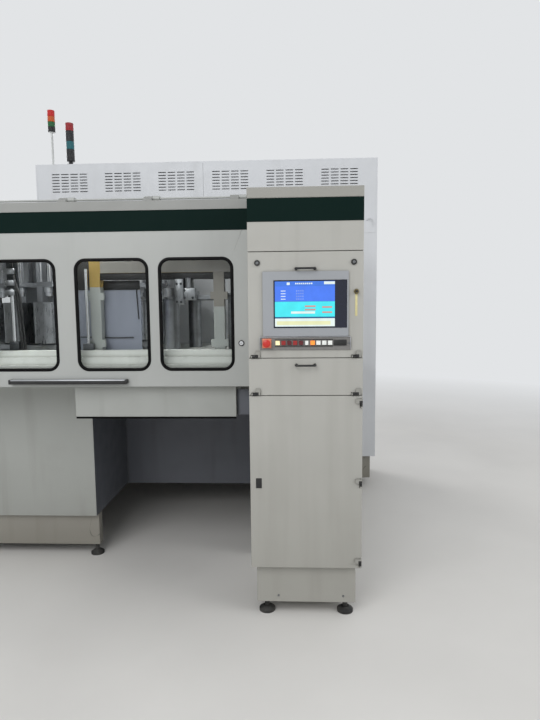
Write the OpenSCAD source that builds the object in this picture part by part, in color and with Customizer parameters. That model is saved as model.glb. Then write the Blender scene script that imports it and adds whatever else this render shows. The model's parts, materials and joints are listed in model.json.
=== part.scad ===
// Rotary stretch blow moulding machine: windowed blow chamber with a lift-up front flap,
// control cabinet in front of its right end, and a tall louvred oven casing behind.
// Millimetres, +Z up, the viewer stands on the -Y side.
// The origin is the middle of the footprint, on the floor.

/* [Control cabinet] */
// Width of the control cabinet
cabinet_w = 600; // [560:5:680]
// Depth of the control cabinet behind its door face
cabinet_d = 400; // [360:5:460]
// Thickness of the cabinet's sheet walls
cabinet_wall = 3; // [2:0.5:5]
// Depth of the folded door trays
door_t = 22; // [18:1:26]
// Sheet thickness of the doors
door_sheet = 3; // [2:0.5:4]
// Gap between a door tray and the cabinet's front edge
door_gap = 2; // [1:0.5:4]
// Gap between neighbouring doors
seam = 3; // [2:0.5:5]
// Top of the plinth
plinth_h = 294; // [240:2:320]
// How far the plinths stand back from the panels
plinth_set = 40; // [20:5:60]
// Height of the lower door
lower_door_h = 953; // [900:1:1000]
// Height of the keyboard flap
keyboard_flap_h = 200; // [190:1:230]
// Height of the screen door
screen_door_h = 552; // [545:1:600]
// Height of the plain header over the screen door
header_h = 153; // [120:1:180]
// Height of the dark band under the cap
band_h = 119; // [90:1:130]
// Height of the cap profile at the top edge
cap_h = 54; // [40:1:60]
// How far the cap profile stands proud
cap_out = 6; // [3:1:10]

/* [Screen and controls] */
// Width of the raised screen surround
bezel_w = 446; // [420:2:480]
// Height of the raised screen surround
bezel_h = 336; // [320:2:360]
// Gap between the key strip and the screen surround
bezel_gap = 2; // [1:1:12]
// Thickness of the screen surround
bezel_t = 10; // [6:1:16]
// Width of the screen glass
screen_w = 381; // [340:1:390]
// Height of the screen glass
screen_h = 248; // [220:1:260]
// Width of the key strip
strip_w = 475; // [460:1:500]
// Height of the key strip
strip_h = 69; // [60:1:72]
// Distance from the screen door's bottom edge to the key strip
strip_up = 44; // [40:1:50]
// Thickness of the key strip
strip_t = 6; // [4:1:8]
// Side of a square key cap
key_side = 22; // [18:1:24]
// Distance from one key to the next
key_pitch = 30.4; // [28:0.2:32]
// Travel of a key
key_travel = 3; // [2:0.5:4]
// Radius of the mushroom head of the stop button
stop_r = 23; // [18:1:26]
// How far the stop button stands out from the door face
stop_out = 50; // [44:1:56]
// Width of the black bow handles
bow_w = 105; // [90:5:130]
// How far the bow handles stand out
bow_out = 38; // [30:1:42]

/* [Front flap] */
// Width of the lift-up front flap
flap_w = 2187; // [2160:1:2240]
// Depth of the flap tray
flap_t = 30; // [26:1:36]
// Sheet thickness of the flap
flap_sheet = 4; // [3:0.5:5]
// Bottom edge of the flap
flap_z = 1249; // [1230:1:1260]
// How far the blow chamber's top edge stands above the cabinet's
chamber_rise = 5; // [2:1:20]
// How far the flap stands behind the cabinet's door face
flap_set = 316; // [300:1:330]
// Gap between the flap and the cabinet
cabinet_gap = 8; // [5:1:12]
// Gap between the flap tray and the frame behind it
flap_gap = 2; // [1.5:0.5:4]
// Radius of the flap's hinge rod
hinge_rod_r = 6; // [5:0.5:8]
// Distance from the flap's ends to its outer windows
window_margin = 100; // [90:1:120]
// Height of a window, outside its rubber
window_h = 664; // [640:1:680]
// Corner radius of a window
window_r = 68; // [50:1:80]
// Bottom edge of the windows
window_z = 1343; // [1335:1:1350]
// Width of the rubber round a window
rubber_w = 14; // [10:1:18]
// Thickness of a window pane
pane_t = 5; // [4:0.5:6]
// Gap between the two windows of a pair
window_gap = 55; // [50:1:60]
// Gap between the two pairs of windows
pair_gap = 109; // [104:1:120]
// Length of the grip bar
grip_l = 713; // [600:1:800]

/* [Reject hood] */
// Width of the reject hood
hood_w = 989; // [960:1:1000]
// Distance from the flap's right edge to the hood
hood_inset = 103; // [100:1:115]
// Bottom edge of the hood
hood_z = 1054; // [1030:1:1080]
// How far the hood's face stands behind the cabinet's door face
hood_set = 380; // [376:1:400]

/* [Base and bed] */
// How far the base stands behind the cabinet's door face
base_set = 700; // [660:5:760]
// Sheet thickness of the base panels
base_wall = 4; // [3:0.5:6]
// Thickness of the machine bed
bed_t = 40; // [30:1:50]
// Top of the machine bed
bed_top = 1375; // [1370:1:1380]
// Height of the crate bay above the floor
bay_h = 1100; // [1070:5:1150]
// Depth of the crate bay
bay_d = 700; // [600:10:760]
// Height of the levelling feet
foot_h = 74; // [60:1:90]

/* [Oven casing] */
// Depth of the oven casing
casing_d = 640; // [600:5:760]
// Height of the oven casing above the floor
casing_h = 3030; // [2980:5:3100]
// How far the oven casing stands behind the cabinet's door face
casing_set = 2200; // [2180:5:2300]
// How far the casing reaches past the cabinet on the right
casing_past = 398; // [360:1:440]
// How far the casing's left end is inset from the flap
casing_inset = 66; // [40:1:100]
// Sheet thickness of the casing
casing_wall = 4; // [3:0.5:6]
// Columns of slots in a louvre group
louvre_cols = 4; // [3:1:4]
// Rows of slots in a louvre group
louvre_rows = 7; // [5:1:7]
// Length of a louvre slot
louvre_l = 69; // [60:1:72]
// Height of a louvre slot
louvre_h = 9.5; // [7:0.5:12]
// Distance from one louvre group to the next
louvre_group = 494; // [480:1:500]
// Distance from one row of slots to the next
louvre_row = 26; // [22:1:28]
// Distance from one column of slots to the next
louvre_col = 86; // [80:1:90]
// Distance from the casing's top edge to the lowest row of slots
louvre_drop = 253; // [230:1:280]
// Distance from the casing's left end to the first louvre group
louvre_in = 153; // [140:1:170]
// Width and depth of a seam between two sheets of the casing
sheet_seam = [4, 2];

/* [Blow wheel] */
// Distance from the flap's left edge to the wheel's axis
wheel_in = 815; // [812:1:830]
// Distance from the flap's face to the wheel's axis
wheel_back = 994; // [990:1:1010]
// Number of blow stations
stations = 18; // [18:1:18]
// Pitch radius of the blow stations
pitch_r = 600; // [596:1:604]
// Radius of the wheel plate
plate_r = 640; // [620:5:650]
// Thickness of the wheel plate, and of its ring gear
plate_t = 35; // [30:1:40]
// Distance from the bed to the ring gear
gear_up = 30; // [25:1:40]
// Radius of the fixed wheel spindle
spindle_r = 90; // [80:1:100]
// Radius of the pedestal under the wheel
pedestal_r = 170; // [150:5:200]
// Radius of the wheel's hub
hub_r = 150; // [130:5:160]
// Height of the wheel's hub
hub_h = 200; // [180:5:220]
// Radius of the air and water column on the hub
mast_r = 95; // [80:5:110]
// Height of the column on the hub
mast_h = 420; // [380:5:430]
// Radius of a lightening hole in the wheel plate
lighten_r = 70; // [50:5:75]
// Radial clearance of a running fit
fit = 0.05; // [0.03:0.01:0.08]
// Module of the wheel's gearing
gear_m = 16; // [16:1:16]
// Teeth of the ring gear
ring_teeth = 70; // [70:1:70]
// Teeth of the drive pinion
pinion_teeth = 14; // [14:1:14]
// Radius of the drive pinion's shaft
pinion_shaft_r = 30; // [25:1:40]

/* [Blow stations] */
// Width of a station's frame
station_w = 100; // [90:1:110]
// Radial depth of a station's column
column_d = 45; // [40:1:48]
// Distance from the wheel plate to the arm over the mould
arm_up = 385; // [380:1:400]
// Thickness of the arm over the mould
arm_t = 30; // [25:1:35]
// Reach of the arm past the pitch circle
arm_out = 60; // [50:1:70]
// Length of the nozzle under the arm
nozzle_h = 60; // [50:1:70]
// Height of a mould
mould_h = 266; // [250:1:266]
// Width of one mould half
mould_w = 72; // [66:1:74]
// Depth of a mould half along the radius
mould_d = 155; // [140:1:160]
// Distance from the wheel plate to the moulds
mould_up = 17; // [15:1:25]
// Radius of the blown body in the mould
bottle_r = 33; // [28:1:36]
// Radius of the pin that the opening mould swings on
mould_pin_r = 8; // [7:0.5:9]
// Radius of a stretch rod
rod_r = 7; // [6:0.5:8]
// Stroke of a stretch rod
stroke = 190; // [150:5:195]
// Radius of the crosshead's guides
guide_r = 8; // [7:0.5:9]
// Distance from the middle of a station to each guide
guide_side = 30; // [28:1:34]
// Thickness of the crosshead
head_t = 20; // [16:1:24]
// Thickness of the ring that ties the stations' tops
ring_t = 20; // [16:1:24]

/* [Star wheels] */
// Grippers on a star wheel
grippers = 9; // [9:1:9]
// Radius of a star wheel's shaft
star_shaft_r = 40; // [35:1:45]
// Radius of a star wheel's disc
star_disc_r = 165; // [150:5:180]
// Thickness of a star wheel's disc
star_disc_t = 16; // [12:1:20]
// Radius of the column that carries the disc
star_column_r = 55; // [50:1:60]
// Width of a gripper arm
gripper_w = 24; // [20:1:28]
// Angle of the star wheels off the wheel's right-hand side
star_angle = 30; // [30:1:30]

/* [Fixed parts in the chamber] */
// Width of a pillar
pillar_w = 66; // [60:1:72]
// Depth of a pillar
pillar_d = 62; // [56:1:62]
// Distance from the bed to the beam on the pillars
beam_up = 555; // [540:5:570]
// Height of the beam on the pillars
beam_h = 110; // [100:5:120]
// Height of the partition panel
partition_h = 453; // [420:1:460]
// Half the gap between the two bars of the neck guide
neck_gap = 15; // [14:0.5:16]
// Width of a bar of the neck guide
neck_bar = 6; // [5:0.5:8]
// Height of a bar of the neck guide
neck_h = 25; // [20:1:28]

/* [Hidden] */
$fn = 48;
eps = 1;
seat = 0.3;

// Widths and places along X
machine_w = flap_w + cabinet_gap + cabinet_w + casing_past;
left_x = -machine_w / 2;
right_x = machine_w / 2;
flap_x1 = left_x + flap_w;
flap_cx = left_x + flap_w / 2;
cab_x0 = flap_x1 + cabinet_gap;
cab_x1 = cab_x0 + cabinet_w;
cab_cx = (cab_x0 + cab_x1) / 2;
casing_x0 = left_x + casing_inset;
chamber_x1 = cab_x1 - 10;

// Depths and places along Y
machine_d = stop_out + casing_set + casing_d;
door_y = -machine_d / 2 + stop_out;
flap_y = door_y + flap_set;
frame_y = flap_y + flap_t + flap_gap;
cab_front = door_y + door_t + door_gap;
cab_back = door_y + cabinet_d;
base_y = door_y + base_set;
hood_y = door_y + hood_set;
casing_y = door_y + casing_set;
back_y = casing_y + casing_d;

// Heights of the cabinet, from the floor up
lower_door_top = plinth_h + lower_door_h;
keyboard_top = lower_door_top + keyboard_flap_h;
screen_door_top = keyboard_top + screen_door_h;
cabinet_h = screen_door_top + header_h + band_h + cap_h;
chamber_top = cabinet_h + chamber_rise;
louvre_z = casing_h - louvre_drop;

// Blow chamber
side_t = 25;
post = 60;
roof_t = 20;
roof_z = chamber_top - roof_t;
bed_z = bed_top - bed_t;
inner_x0 = left_x + side_t;
inner_x1 = chamber_x1 - side_t;
sill_y = frame_y + 30;
sill_step = 45;
hinge_y = frame_y + 2;
hinge_z = chamber_top + 16;
window_w = (flap_w - 2 * window_margin - pair_gap - 2 * window_gap) / 4;
window_pitch = window_w + window_gap;
window_xs = [for (side = [-1, 1]) for (k = [0, 1])
    flap_cx + side * (pair_gap / 2 + window_w / 2 + k * window_pitch)];
flap_lock_x = flap_x1 - 60;
flap_lock_z = window_z + 163;
lock_r = 12;
left_window_ys = [for (k = [-1:1]) (frame_y + casing_y) / 2 + k * window_pitch];
right_window_ys = [for (k = [0, 1]) casing_y - 150 - window_w / 2 - k * window_pitch];
hinge_xs = [for (i = [0:4]) left_x + 90 + i * (flap_w - 180) / 4];

// Doors, screen and controls
pin_r = 4;
hinge_l = 24;
axis_in = 6;
axis_out = 4;
bottom_hinge_xs = [cab_cx - 264, cab_cx + 264];
side_hinge_zs = [plinth_h + 31, plinth_h + lower_door_h / 2, lower_door_top - 42];
strip_z = keyboard_top + strip_up;
strip_x0 = cab_cx - strip_w / 2 - 2.5;
bezel_z = strip_z + strip_h + bezel_gap;
bezel_x0 = cab_cx - bezel_w / 2;
screen_x0 = bezel_x0 + 57;
screen_z0 = bezel_z + (bezel_h - screen_h) / 2 - 1;
key_z = strip_z + strip_h / 2 + 2.5;
key_x0 = cab_cx - 146;
key_hole = 7.2;
stop_x = cab_cx - 203;
stop_z = key_z - 2;
stem_r = 10;
lock_x = 250;
lock_z = screen_door_top - 56;
screen_handle_z = bezel_z + bezel_h + 14;
key_switch_at = [cab_cx + 263, bezel_z + 230];
latch_x = cab_cx - 254;
latch_z = plinth_h + lower_door_h / 2 - 2.5;
latch_w = 31;
latch_pin_z = latch_z + 22;

// Louvres of the casing
louvre_x0 = casing_x0 + louvre_in;
group_w = louvre_l + (louvre_cols - 1) * louvre_col;
groups_x = [for (i = [0:5]) louvre_x0 + i * louvre_group];
casing_seams = [for (i = [1, 3, 5]) louvre_x0 + i * louvre_group - (louvre_group - group_w) / 2];

// Wheel and star wheels
wheel_x = left_x + wheel_in;
wheel_y = flap_y + wheel_back;
gear_z = bed_top + gear_up;
plate_z = gear_z + plate_t;
plate_top = plate_z + plate_t;
column_r0 = 470;
column_r1 = column_r0 + column_d;
frame_z = plate_top + seat;
arm_z = plate_top + arm_up;
arm_top = arm_z + arm_t;
column_top = arm_top + stroke + 2 * head_t;
head_z = column_top - head_t - 10;
guide_at = [pitch_r + 45, guide_side];
mould_z = plate_top + mould_up;
mould_r0 = column_r1 + 30;
mould_pin = mould_r0 - mould_pin_r - 6.5;
mould_top = mould_z + mould_h;
nozzle_z = arm_z - nozzle_h;
grip_z = (mould_top + nozzle_z) / 2;
work_angle = -90;
first_angle = star_angle;
station_step = 360 / stations;
star_r = pitch_r * grippers / stations;
star_dist = pitch_r + star_r;
in_star = [wheel_x + star_dist * cos(star_angle), wheel_y + star_dist * sin(star_angle)];
out_star = [wheel_x + star_dist * cos(star_angle), wheel_y - star_dist * sin(star_angle)];
ring_r = gear_m * ring_teeth / 2;
pinion_r = gear_m * pinion_teeth / 2;
pinion_angle = -120;
pinion_dist = ring_r + pinion_r;
pinion_at = [wheel_x + pinion_dist * cos(pinion_angle), wheel_y + pinion_dist * sin(pinion_angle)];
drop_hole = [0, -850, 320, 130];
rail_y = out_star[1] - star_r;
pillar_y0 = frame_y + 122;
pillar_xs = [-384, 382];
beam_z = bed_top + beam_up;
partition_x = [pillar_xs[0] - 143, -120];
outlet = [-920, 1440, 180, 460];
bay_x0 = flap_x1 - hood_inset - hood_w - 20;
bay_x1 = cab_x0 - 24;

// A box from its lowest corner to its highest
module block(a, b) {
    translate(a) cube(b - a);
}

// A rounded rectangle about the origin
module round_rect(w, h, r) {
    square([w - 2 * r, h], center = true);
    square([w, h - 2 * r], center = true);
    for (x = [-1, 1]) for (y = [-1, 1])
        translate([x * (w / 2 - r), y * (h / 2 - r)]) circle(r);
}

// Turns an outline drawn in X and Z into a plate from y0 towards +Y
module plate_y(y0, t) {
    translate([0, y0 + t, 0]) rotate([90, 0, 0]) linear_extrude(t) children();
}

// Turns an outline drawn in Y and Z into a plate from x0 towards +X
module plate_x(x0, t) {
    translate([x0, 0, 0]) rotate([90, 0, 90]) linear_extrude(t) children();
}

// A round bar along +Y from y0 to y1
module bar_y(x, y0, y1, z, r) {
    translate([x, y1, z]) rotate([90, 0, 0]) cylinder(h = y1 - y0, r = r);
}

// Base and frame
module base_frame() {
    wall = 60;
    x0 = inner_x0 + plinth_set;
    x1 = inner_x1 - plinth_set;
    y0 = base_y + plinth_set;
    rear = [casing_x0 + plinth_set, casing_y + plinth_set];
    end = [right_x - plinth_set, back_y - plinth_set];
    color("dimgray") difference() {
        union() {
            block([x0, y0, foot_h], [x1, rear[1] + wall, plinth_h]);
            block([rear[0], rear[1], foot_h], [end[0], end[1], plinth_h]);
        }
        block([x0 + wall, y0 + wall, foot_h - eps], [x1 - wall, casing_y - wall, plinth_h + eps]);
        block([rear[0] + wall, rear[1] + wall, foot_h - eps],
            [end[0] - wall, end[1] - wall, plinth_h + eps]);
        block([bay_x0, y0 - eps, foot_h - eps], [bay_x1, base_y + bay_d, plinth_h + eps]);
    }
}

module base_panels() {
    w = base_wall;
    color("gainsboro") difference() {
        block([inner_x0, base_y, plinth_h], [inner_x1, casing_y, bed_z]);
        difference() {
            block([inner_x0 + w, base_y + w, plinth_h + w], [inner_x1 - w, casing_y - w, bed_z - w]);
            block([bay_x0 - w, base_y, plinth_h], [bay_x1 + w, base_y + bay_d + w, bay_h + w]);
        }
        block([bay_x0, base_y - eps, plinth_h - eps], [bay_x1, base_y + bay_d, bay_h]);
    }
}

module foot(x, y, top) {
    translate([x, y, 0]) {
        cylinder(h = 14, r = 45);
        translate([0, 0, 14]) cylinder(h = 16, r1 = 45, r2 = 22);
        translate([0, 0, 30]) cylinder(h = top - 30, r = 14);
    }
}

module levelling_feet() {
    inset = plinth_set + 30;
    color("black") {
        for (x = [left_x + inset, bay_x0 - 30, bay_x1 + 30, chamber_x1 - inset])
            foot(x, base_y + inset, foot_h);
        for (x = [left_x + inset, chamber_x1 - inset])
            foot(x, casing_y - 30, foot_h);
        for (x = [left_x + inset + casing_inset, (left_x + right_x) / 2, right_x - inset])
            foot(x, back_y - inset, foot_h);
        for (x = [cab_cx - 220, cab_cx + 220]) for (y = [door_y + 90, cab_back - 60])
            foot(x, y, foot_h);
    }
}

module bed_plate() {
    color("ivory") difference() {
        union() {
            block([inner_x0, frame_y, bed_z], [inner_x1, casing_y, bed_top]);
            block([inner_x0, frame_y, flap_z], [flap_x1, frame_y + 20, bed_z]);
            block([inner_x0 + post, sill_y, bed_top], [flap_x1 - post, sill_y + 80, bed_top + sill_step]);
            block([inner_x0 + post, sill_y + 30, bed_top],
                [flap_x1 - post, sill_y + 80, bed_top + 2 * sill_step - 5]);
        }
        block([flap_x1, frame_y - eps, bed_z - eps], [inner_x1 + eps, cab_back + side_t, bed_top + eps]);
        block([drop_hole[0], drop_hole[1], bed_z - eps],
            [drop_hole[0] + drop_hole[2], drop_hole[1] + drop_hole[3], bed_top + eps]);
        for (p = [in_star, out_star])
            translate([p[0], p[1], bed_z - eps]) cylinder(h = bed_t + 2 * eps, r = star_shaft_r + fit);
        translate([pinion_at[0], pinion_at[1], bed_z - eps])
            cylinder(h = bed_t + 2 * eps, r = pinion_shaft_r + fit);
    }
}

module enclosure_frame() {
    z1 = roof_z - post;
    rear = casing_y - post;
    wall_y = cab_back + side_t;
    color("silver") difference() {
        union() {
            for (x = [inner_x0, flap_x1 - post])
                block([x, frame_y, bed_top], [x + post, frame_y + post, roof_z]);
            block([inner_x1 - post, wall_y, bed_top], [inner_x1, wall_y + post, roof_z]);
            for (x = [inner_x0, inner_x1 - post])
                block([x, rear, bed_top], [x + post, casing_y, roof_z]);
            block([inner_x0, frame_y, z1], [flap_x1, frame_y + post, roof_z]);
            block([flap_x1 - post, wall_y, z1], [inner_x1, wall_y + post, roof_z]);
            block([inner_x0, rear, z1], [inner_x1, casing_y, roof_z]);
            for (x = [inner_x0, flap_x1 - post])
                block([x, frame_y, z1], [x + post, casing_y, roof_z]);
            block([inner_x1 - post, wall_y, z1], [inner_x1, casing_y, roof_z]);
        }
        block([flap_lock_x - 60, frame_y - eps, flap_lock_z - 50],
            [flap_lock_x + 16, frame_y + 14, flap_lock_z + 50]);
        block([flap_lock_x, frame_y + 4, flap_lock_z - 50],
            [flap_lock_x + 48, frame_y + 14, flap_lock_z + 50]);
    }
}

module wall_windows(ys, grow) {
    for (y = ys) translate([y, window_z + window_h / 2])
        round_rect(window_w + 2 * grow, window_h + 2 * grow, window_r + grow);
}

// Left wall, right wall with its return behind the cabinet, and the roof that lies on them
module enclosure_walls() {
    color("whitesmoke") {
        difference() {
            block([left_x, frame_y, flap_z], [inner_x0, casing_y, roof_z]);
            plate_x(left_x - eps, side_t + 2 * eps) wall_windows(left_window_ys, seat);
        }
        difference() {
            union() {
                block([inner_x1, cab_back, flap_z], [chamber_x1, casing_y, roof_z]);
                block([flap_x1, cab_back, flap_z], [chamber_x1, cab_back + side_t, roof_z]);
            }
            block([inner_x1 - eps, outlet[0], outlet[1]],
                [chamber_x1 + eps, outlet[0] + outlet[2], outlet[1] + outlet[3]]);
            plate_x(inner_x1 - eps, side_t + 2 * eps) wall_windows(right_window_ys, seat);
        }
        block([left_x, frame_y, roof_z + seat], [flap_x1, casing_y, chamber_top]);
        block([flap_x1, cab_back, roof_z + seat], [chamber_x1, casing_y, chamber_top]);
    }
}

// The rubbers' grooves hold the panes in the middle of the walls
module wall_rubbers(x0, ys) {
    pane_x = x0 + (side_t - pane_t) / 2;
    difference() {
        plate_x(x0, side_t) wall_windows(ys, 0);
        plate_x(x0 - eps, side_t + 2 * eps) wall_windows(ys, -rubber_w);
        plate_x(pane_x - seat, pane_t + 2 * seat) wall_windows(ys, seat - rubber_w / 2);
    }
}

module side_rubbers() {
    color("black") {
        wall_rubbers(left_x, left_window_ys);
        wall_rubbers(inner_x1, right_window_ys);
    }
}

module side_panes() {
    color("lightblue", 0.4) {
        plate_x(left_x + (side_t - pane_t) / 2, pane_t) wall_windows(left_window_ys, -rubber_w / 2);
        plate_x(inner_x1 + (side_t - pane_t) / 2, pane_t) wall_windows(right_window_ys, -rubber_w / 2);
    }
}

module flap_hinge_rail() {
    color("gray") {
        for (x = hinge_xs)
            translate([x + 26, 0, 0]) {
                block([0, frame_y, chamber_top], [40, frame_y + 30, hinge_z + 14]);
                translate([0, hinge_y, hinge_z]) rotate([0, 90, 0]) cylinder(h = 40, r = 14);
            }
        translate([hinge_xs[0] - 40, hinge_y, hinge_z]) rotate([0, 90, 0])
            cylinder(h = hinge_xs[4] - hinge_xs[0] + 120, r = hinge_rod_r);
    }
}

// Reject hood under the flap, open at the bottom, with a rubber lip
module reject_hood() {
    x1 = flap_x1 - hood_inset;
    x0 = x1 - hood_w;
    t = 3;
    lip_h = 12;
    lip_t = 8;
    color("lightgray") difference() {
        block([x0, hood_y, hood_z], [x1, base_y, bed_z]);
        block([x0 + t, hood_y + t, hood_z - eps], [x1 - t, base_y + eps, bed_z + eps]);
    }
    color("black")
        block([x0 + eps, hood_y + t - eps, hood_z - lip_h],
            [x1 - eps, hood_y + t + lip_t, hood_z + lip_h]);
}

// Oven casing
module louvre_slots() {
    for (x = groups_x) for (c = [0:louvre_cols - 1]) for (r = [0:louvre_rows - 1])
        translate([x + c * louvre_col, louvre_z + r * louvre_row]) square([louvre_l, louvre_h]);
}

module casing_shell() {
    w = casing_wall;
    rim = 10;
    half = sheet_seam[0] / 2;
    deep = sheet_seam[1];
    difference() {
        block([casing_x0, casing_y, plinth_h], [right_x, back_y, casing_h]);
        block([casing_x0 + w, casing_y + w, plinth_h + w], [right_x - w, back_y - w, casing_h - w]);
        for (x = groups_x)
            block([x - rim, casing_y - eps, louvre_z - rim],
                [x + group_w + rim, casing_y + 2 * w, louvre_z + louvre_rows * louvre_row]);
        for (x = casing_seams) {
            block([x - half, back_y - deep, plinth_h - eps], [x + half, back_y + eps, casing_h + eps]);
            block([x - half, casing_y - eps, casing_h - deep], [x + half, back_y + eps, casing_h + eps]);
        }
    }
}

// The front skin over the chamber's roof, with its slots
module louvre_skin() {
    margin = 16;
    skin_t = 3;
    z0 = chamber_top + 40;
    plate_y(casing_y - skin_t, skin_t) difference() {
        translate([casing_x0 + margin, z0])
            square([right_x - casing_x0 - 2 * margin, casing_h - z0 - margin]);
        louvre_slots();
        translate([casing_seams[1] - sheet_seam[0] / 2, z0 - eps])
            square([sheet_seam[0], casing_h - z0]);
    }
}

module rear_casing() {
    color("white") {
        casing_shell();
        louvre_skin();
    }
}

// One lamp of a signal tower, with the narrow joint under it
module lamp(z, h, r, tint) {
    color("black") translate([0, 0, z]) cylinder(h = 3, r = r - 3);
    color(tint) translate([0, 0, z + 3]) cylinder(h = h - 3, r = r);
}

module signal_towers() {
    translate([casing_x0 + 104, casing_y + 150, casing_h]) {
        color("white") cylinder(h = 8, r = 32);
        color("white") cylinder(h = 334, r = 10);
        lamp(330, 45, 33, "black");
        lamp(375, 46, 33, "green");
        lamp(421, 49, 33, "orange");
        lamp(470, 56, 33, "red");
    }
    translate([casing_x0 + 311, casing_y + 60, casing_h]) {
        color("black") cylinder(h = 10, r = 36);
        color("black") cylinder(h = 37, r = 18);
        lamp(36, 106, 36, "black");
        lamp(142, 71, 36, "teal");
        lamp(213, 94, 36, "black");
        lamp(307, 70, 36, "red");
    }
}

// Front flap
module flap_windows(grow) {
    for (x = window_xs) translate([x, window_z + window_h / 2])
        round_rect(window_w + 2 * grow, window_h + 2 * grow, window_r + grow);
}

module flap_panel() {
    edge = 34;
    color("whitesmoke") difference() {
        union() {
            block([left_x, flap_y, flap_z], [flap_x1, flap_y + flap_t, chamber_top]);
            block([left_x, flap_y - cap_out, chamber_top - cap_h], [flap_x1, flap_y, chamber_top]);
            for (x = hinge_xs)
                translate([x - 25, hinge_y, hinge_z]) rotate([90, 0, 90]) linear_extrude(50) {
                    circle(14);
                    polygon([[-34, -16], [-4, -16], [2, -13], [2, 10], [-34, -6]]);
                }
        }
        plate_y(flap_y - eps, flap_t + 2 * eps) flap_windows(seat);
        difference() {
            block([left_x + edge, flap_y + flap_sheet, flap_z + edge],
                [flap_x1 - edge, flap_y + flap_t + eps, chamber_top - edge]);
            plate_y(flap_y, flap_t + 2 * eps) flap_windows(20);
            for (x = [flap_cx])
                block([x - 20, flap_y, flap_z], [x + 20, flap_y + flap_t, chamber_top]);
        }
        translate([hinge_xs[0] - 60, hinge_y, hinge_z]) rotate([0, 90, 0])
            cylinder(h = flap_w, r = hinge_rod_r + fit);
        bar_y(flap_lock_x, flap_y - eps, flap_y + flap_t + eps, flap_lock_z, lock_r + fit);
    }
}

module flap_band() {
    color("darkslategray")
        block([left_x, flap_y - 2, chamber_top - cap_h - band_h],
            [flap_x1, flap_y, chamber_top - cap_h]);
}

module window_rubbers() {
    color("black") difference() {
        plate_y(flap_y - 4, 16) flap_windows(0);
        plate_y(flap_y - 5, 18) flap_windows(-rubber_w);
        plate_y(flap_y + 3 - 0.2, pane_t + 0.4) flap_windows(seat - rubber_w / 2);
    }
}

module window_panes() {
    color("lightblue", 0.4) plate_y(flap_y + 3, pane_t) flap_windows(-rubber_w / 2);
}

module flap_grip() {
    x0 = flap_cx - grip_l / 2;
    color("silver") {
        translate([x0, flap_y, flap_z + 21]) rotate([90, 0, 90]) linear_extrude(grip_l)
            polygon([[-40, 4], [-36, 0], [-26, 0], [-22, 6], [-22, 21], [-28, 27], [-36, 27], [-40, 22]]);
        for (x = [x0 + 30, flap_cx - 15, x0 + grip_l - 60])
            block([x, flap_y - 22, flap_z + 28], [x + 30, flap_y, flap_z + 40]);
    }
}

module flap_lock() {
    back = flap_y + flap_t + flap_gap + 5;
    color("silver") {
        bar_y(flap_lock_x, flap_y - 5, flap_y - seat, flap_lock_z, lock_r + 2);
        bar_y(flap_lock_x, flap_y - 1, back, flap_lock_z, lock_r);
        block([flap_lock_x - 9, back, flap_lock_z - 9], [flap_lock_x + 9, back + 4, flap_lock_z + 42]);
    }
}

// Control cabinet
module cabinet_shell() {
    w = cabinet_wall;
    rail = 26;
    color("whitesmoke") {
        difference() {
            union() {
                block([cab_x0, cab_front, plinth_h], [cab_x1, cab_back, cabinet_h]);
                block([cab_x0, door_y, screen_door_top + seam], [cab_x1, cab_front, cabinet_h]);
                block([cab_x0, door_y - cap_out, cabinet_h - cap_h], [cab_x1, door_y, cabinet_h]);
            }
            block([cab_x0 + w, cab_front + w, plinth_h + w], [cab_x1 - w, cab_back - w, cabinet_h - w]);
            block([cab_x0 + w, door_y + w, screen_door_top + seam + w],
                [cab_x1 - w, cab_back - w, cabinet_h - w]);
            for (z = [[plinth_h + rail, lower_door_top - rail], [lower_door_top + rail, keyboard_top - rail],
                    [keyboard_top + rail, screen_door_top - rail]])
                block([cab_x0 + rail, cab_front - eps, z[0]], [cab_x1 - rail, cab_front + 2 * w, z[1]]);
        }
        difference() {
            block([cab_x0 + 27, door_y + plinth_set, foot_h], [cab_x1 - 27, cab_back - 20, plinth_h]);
            block([cab_x0 + 31, door_y + plinth_set + 4, foot_h + 4],
                [cab_x1 - 31, cab_back - 24, plinth_h - 4]);
        }
    }
}

module cabinet_band() {
    color("darkslategray")
        block([cab_x0, door_y - 2, cabinet_h - cap_h - band_h], [cab_x1, door_y, cabinet_h - cap_h]);
}

// One hinge. Its pin is the local Z axis, +X points off the door's edge, +Y into the cabinet.
module hinge_fixed() {
    block([-5, -5, -hinge_l], [5, axis_out + door_t + door_gap, 0]);
    cylinder(h = hinge_l - 1, r = pin_r);
    translate([0, 0, -hinge_l]) cylinder(h = hinge_l, r = axis_in);
}

module hinge_lug() {
    difference() {
        union() {
            translate([0, 0, seat]) cylinder(h = hinge_l - seat, r = axis_in);
            block([-30, -axis_in, seat], [0, axis_out, hinge_l]);
        }
        translate([0, 0, -eps]) cylinder(h = hinge_l + 2 * eps, r = pin_r + fit);
    }
}

module hinge_notch() {
    block([-axis_in - 3, 0, -hinge_l - 2], [3 * axis_in, axis_out + door_t + eps, hinge_l + 2]);
    cylinder(h = 2 * hinge_l, r = axis_in + 1.5, center = true);
}

module at_side_hinge(z) {
    translate([cab_x1 - axis_in, door_y - axis_out, z]) children();
}

module at_bottom_hinge(x, z) {
    translate([x, door_y - axis_out, z + axis_in]) rotate([0, 90, 0]) children();
}

module cabinet_hinges() {
    color("black") {
        for (z = side_hinge_zs) at_side_hinge(z) hinge_fixed();
        for (x = bottom_hinge_xs) for (z = [keyboard_top + seam / 2, lower_door_top + seam / 2])
            at_bottom_hinge(x, z) hinge_fixed();
    }
}

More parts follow.
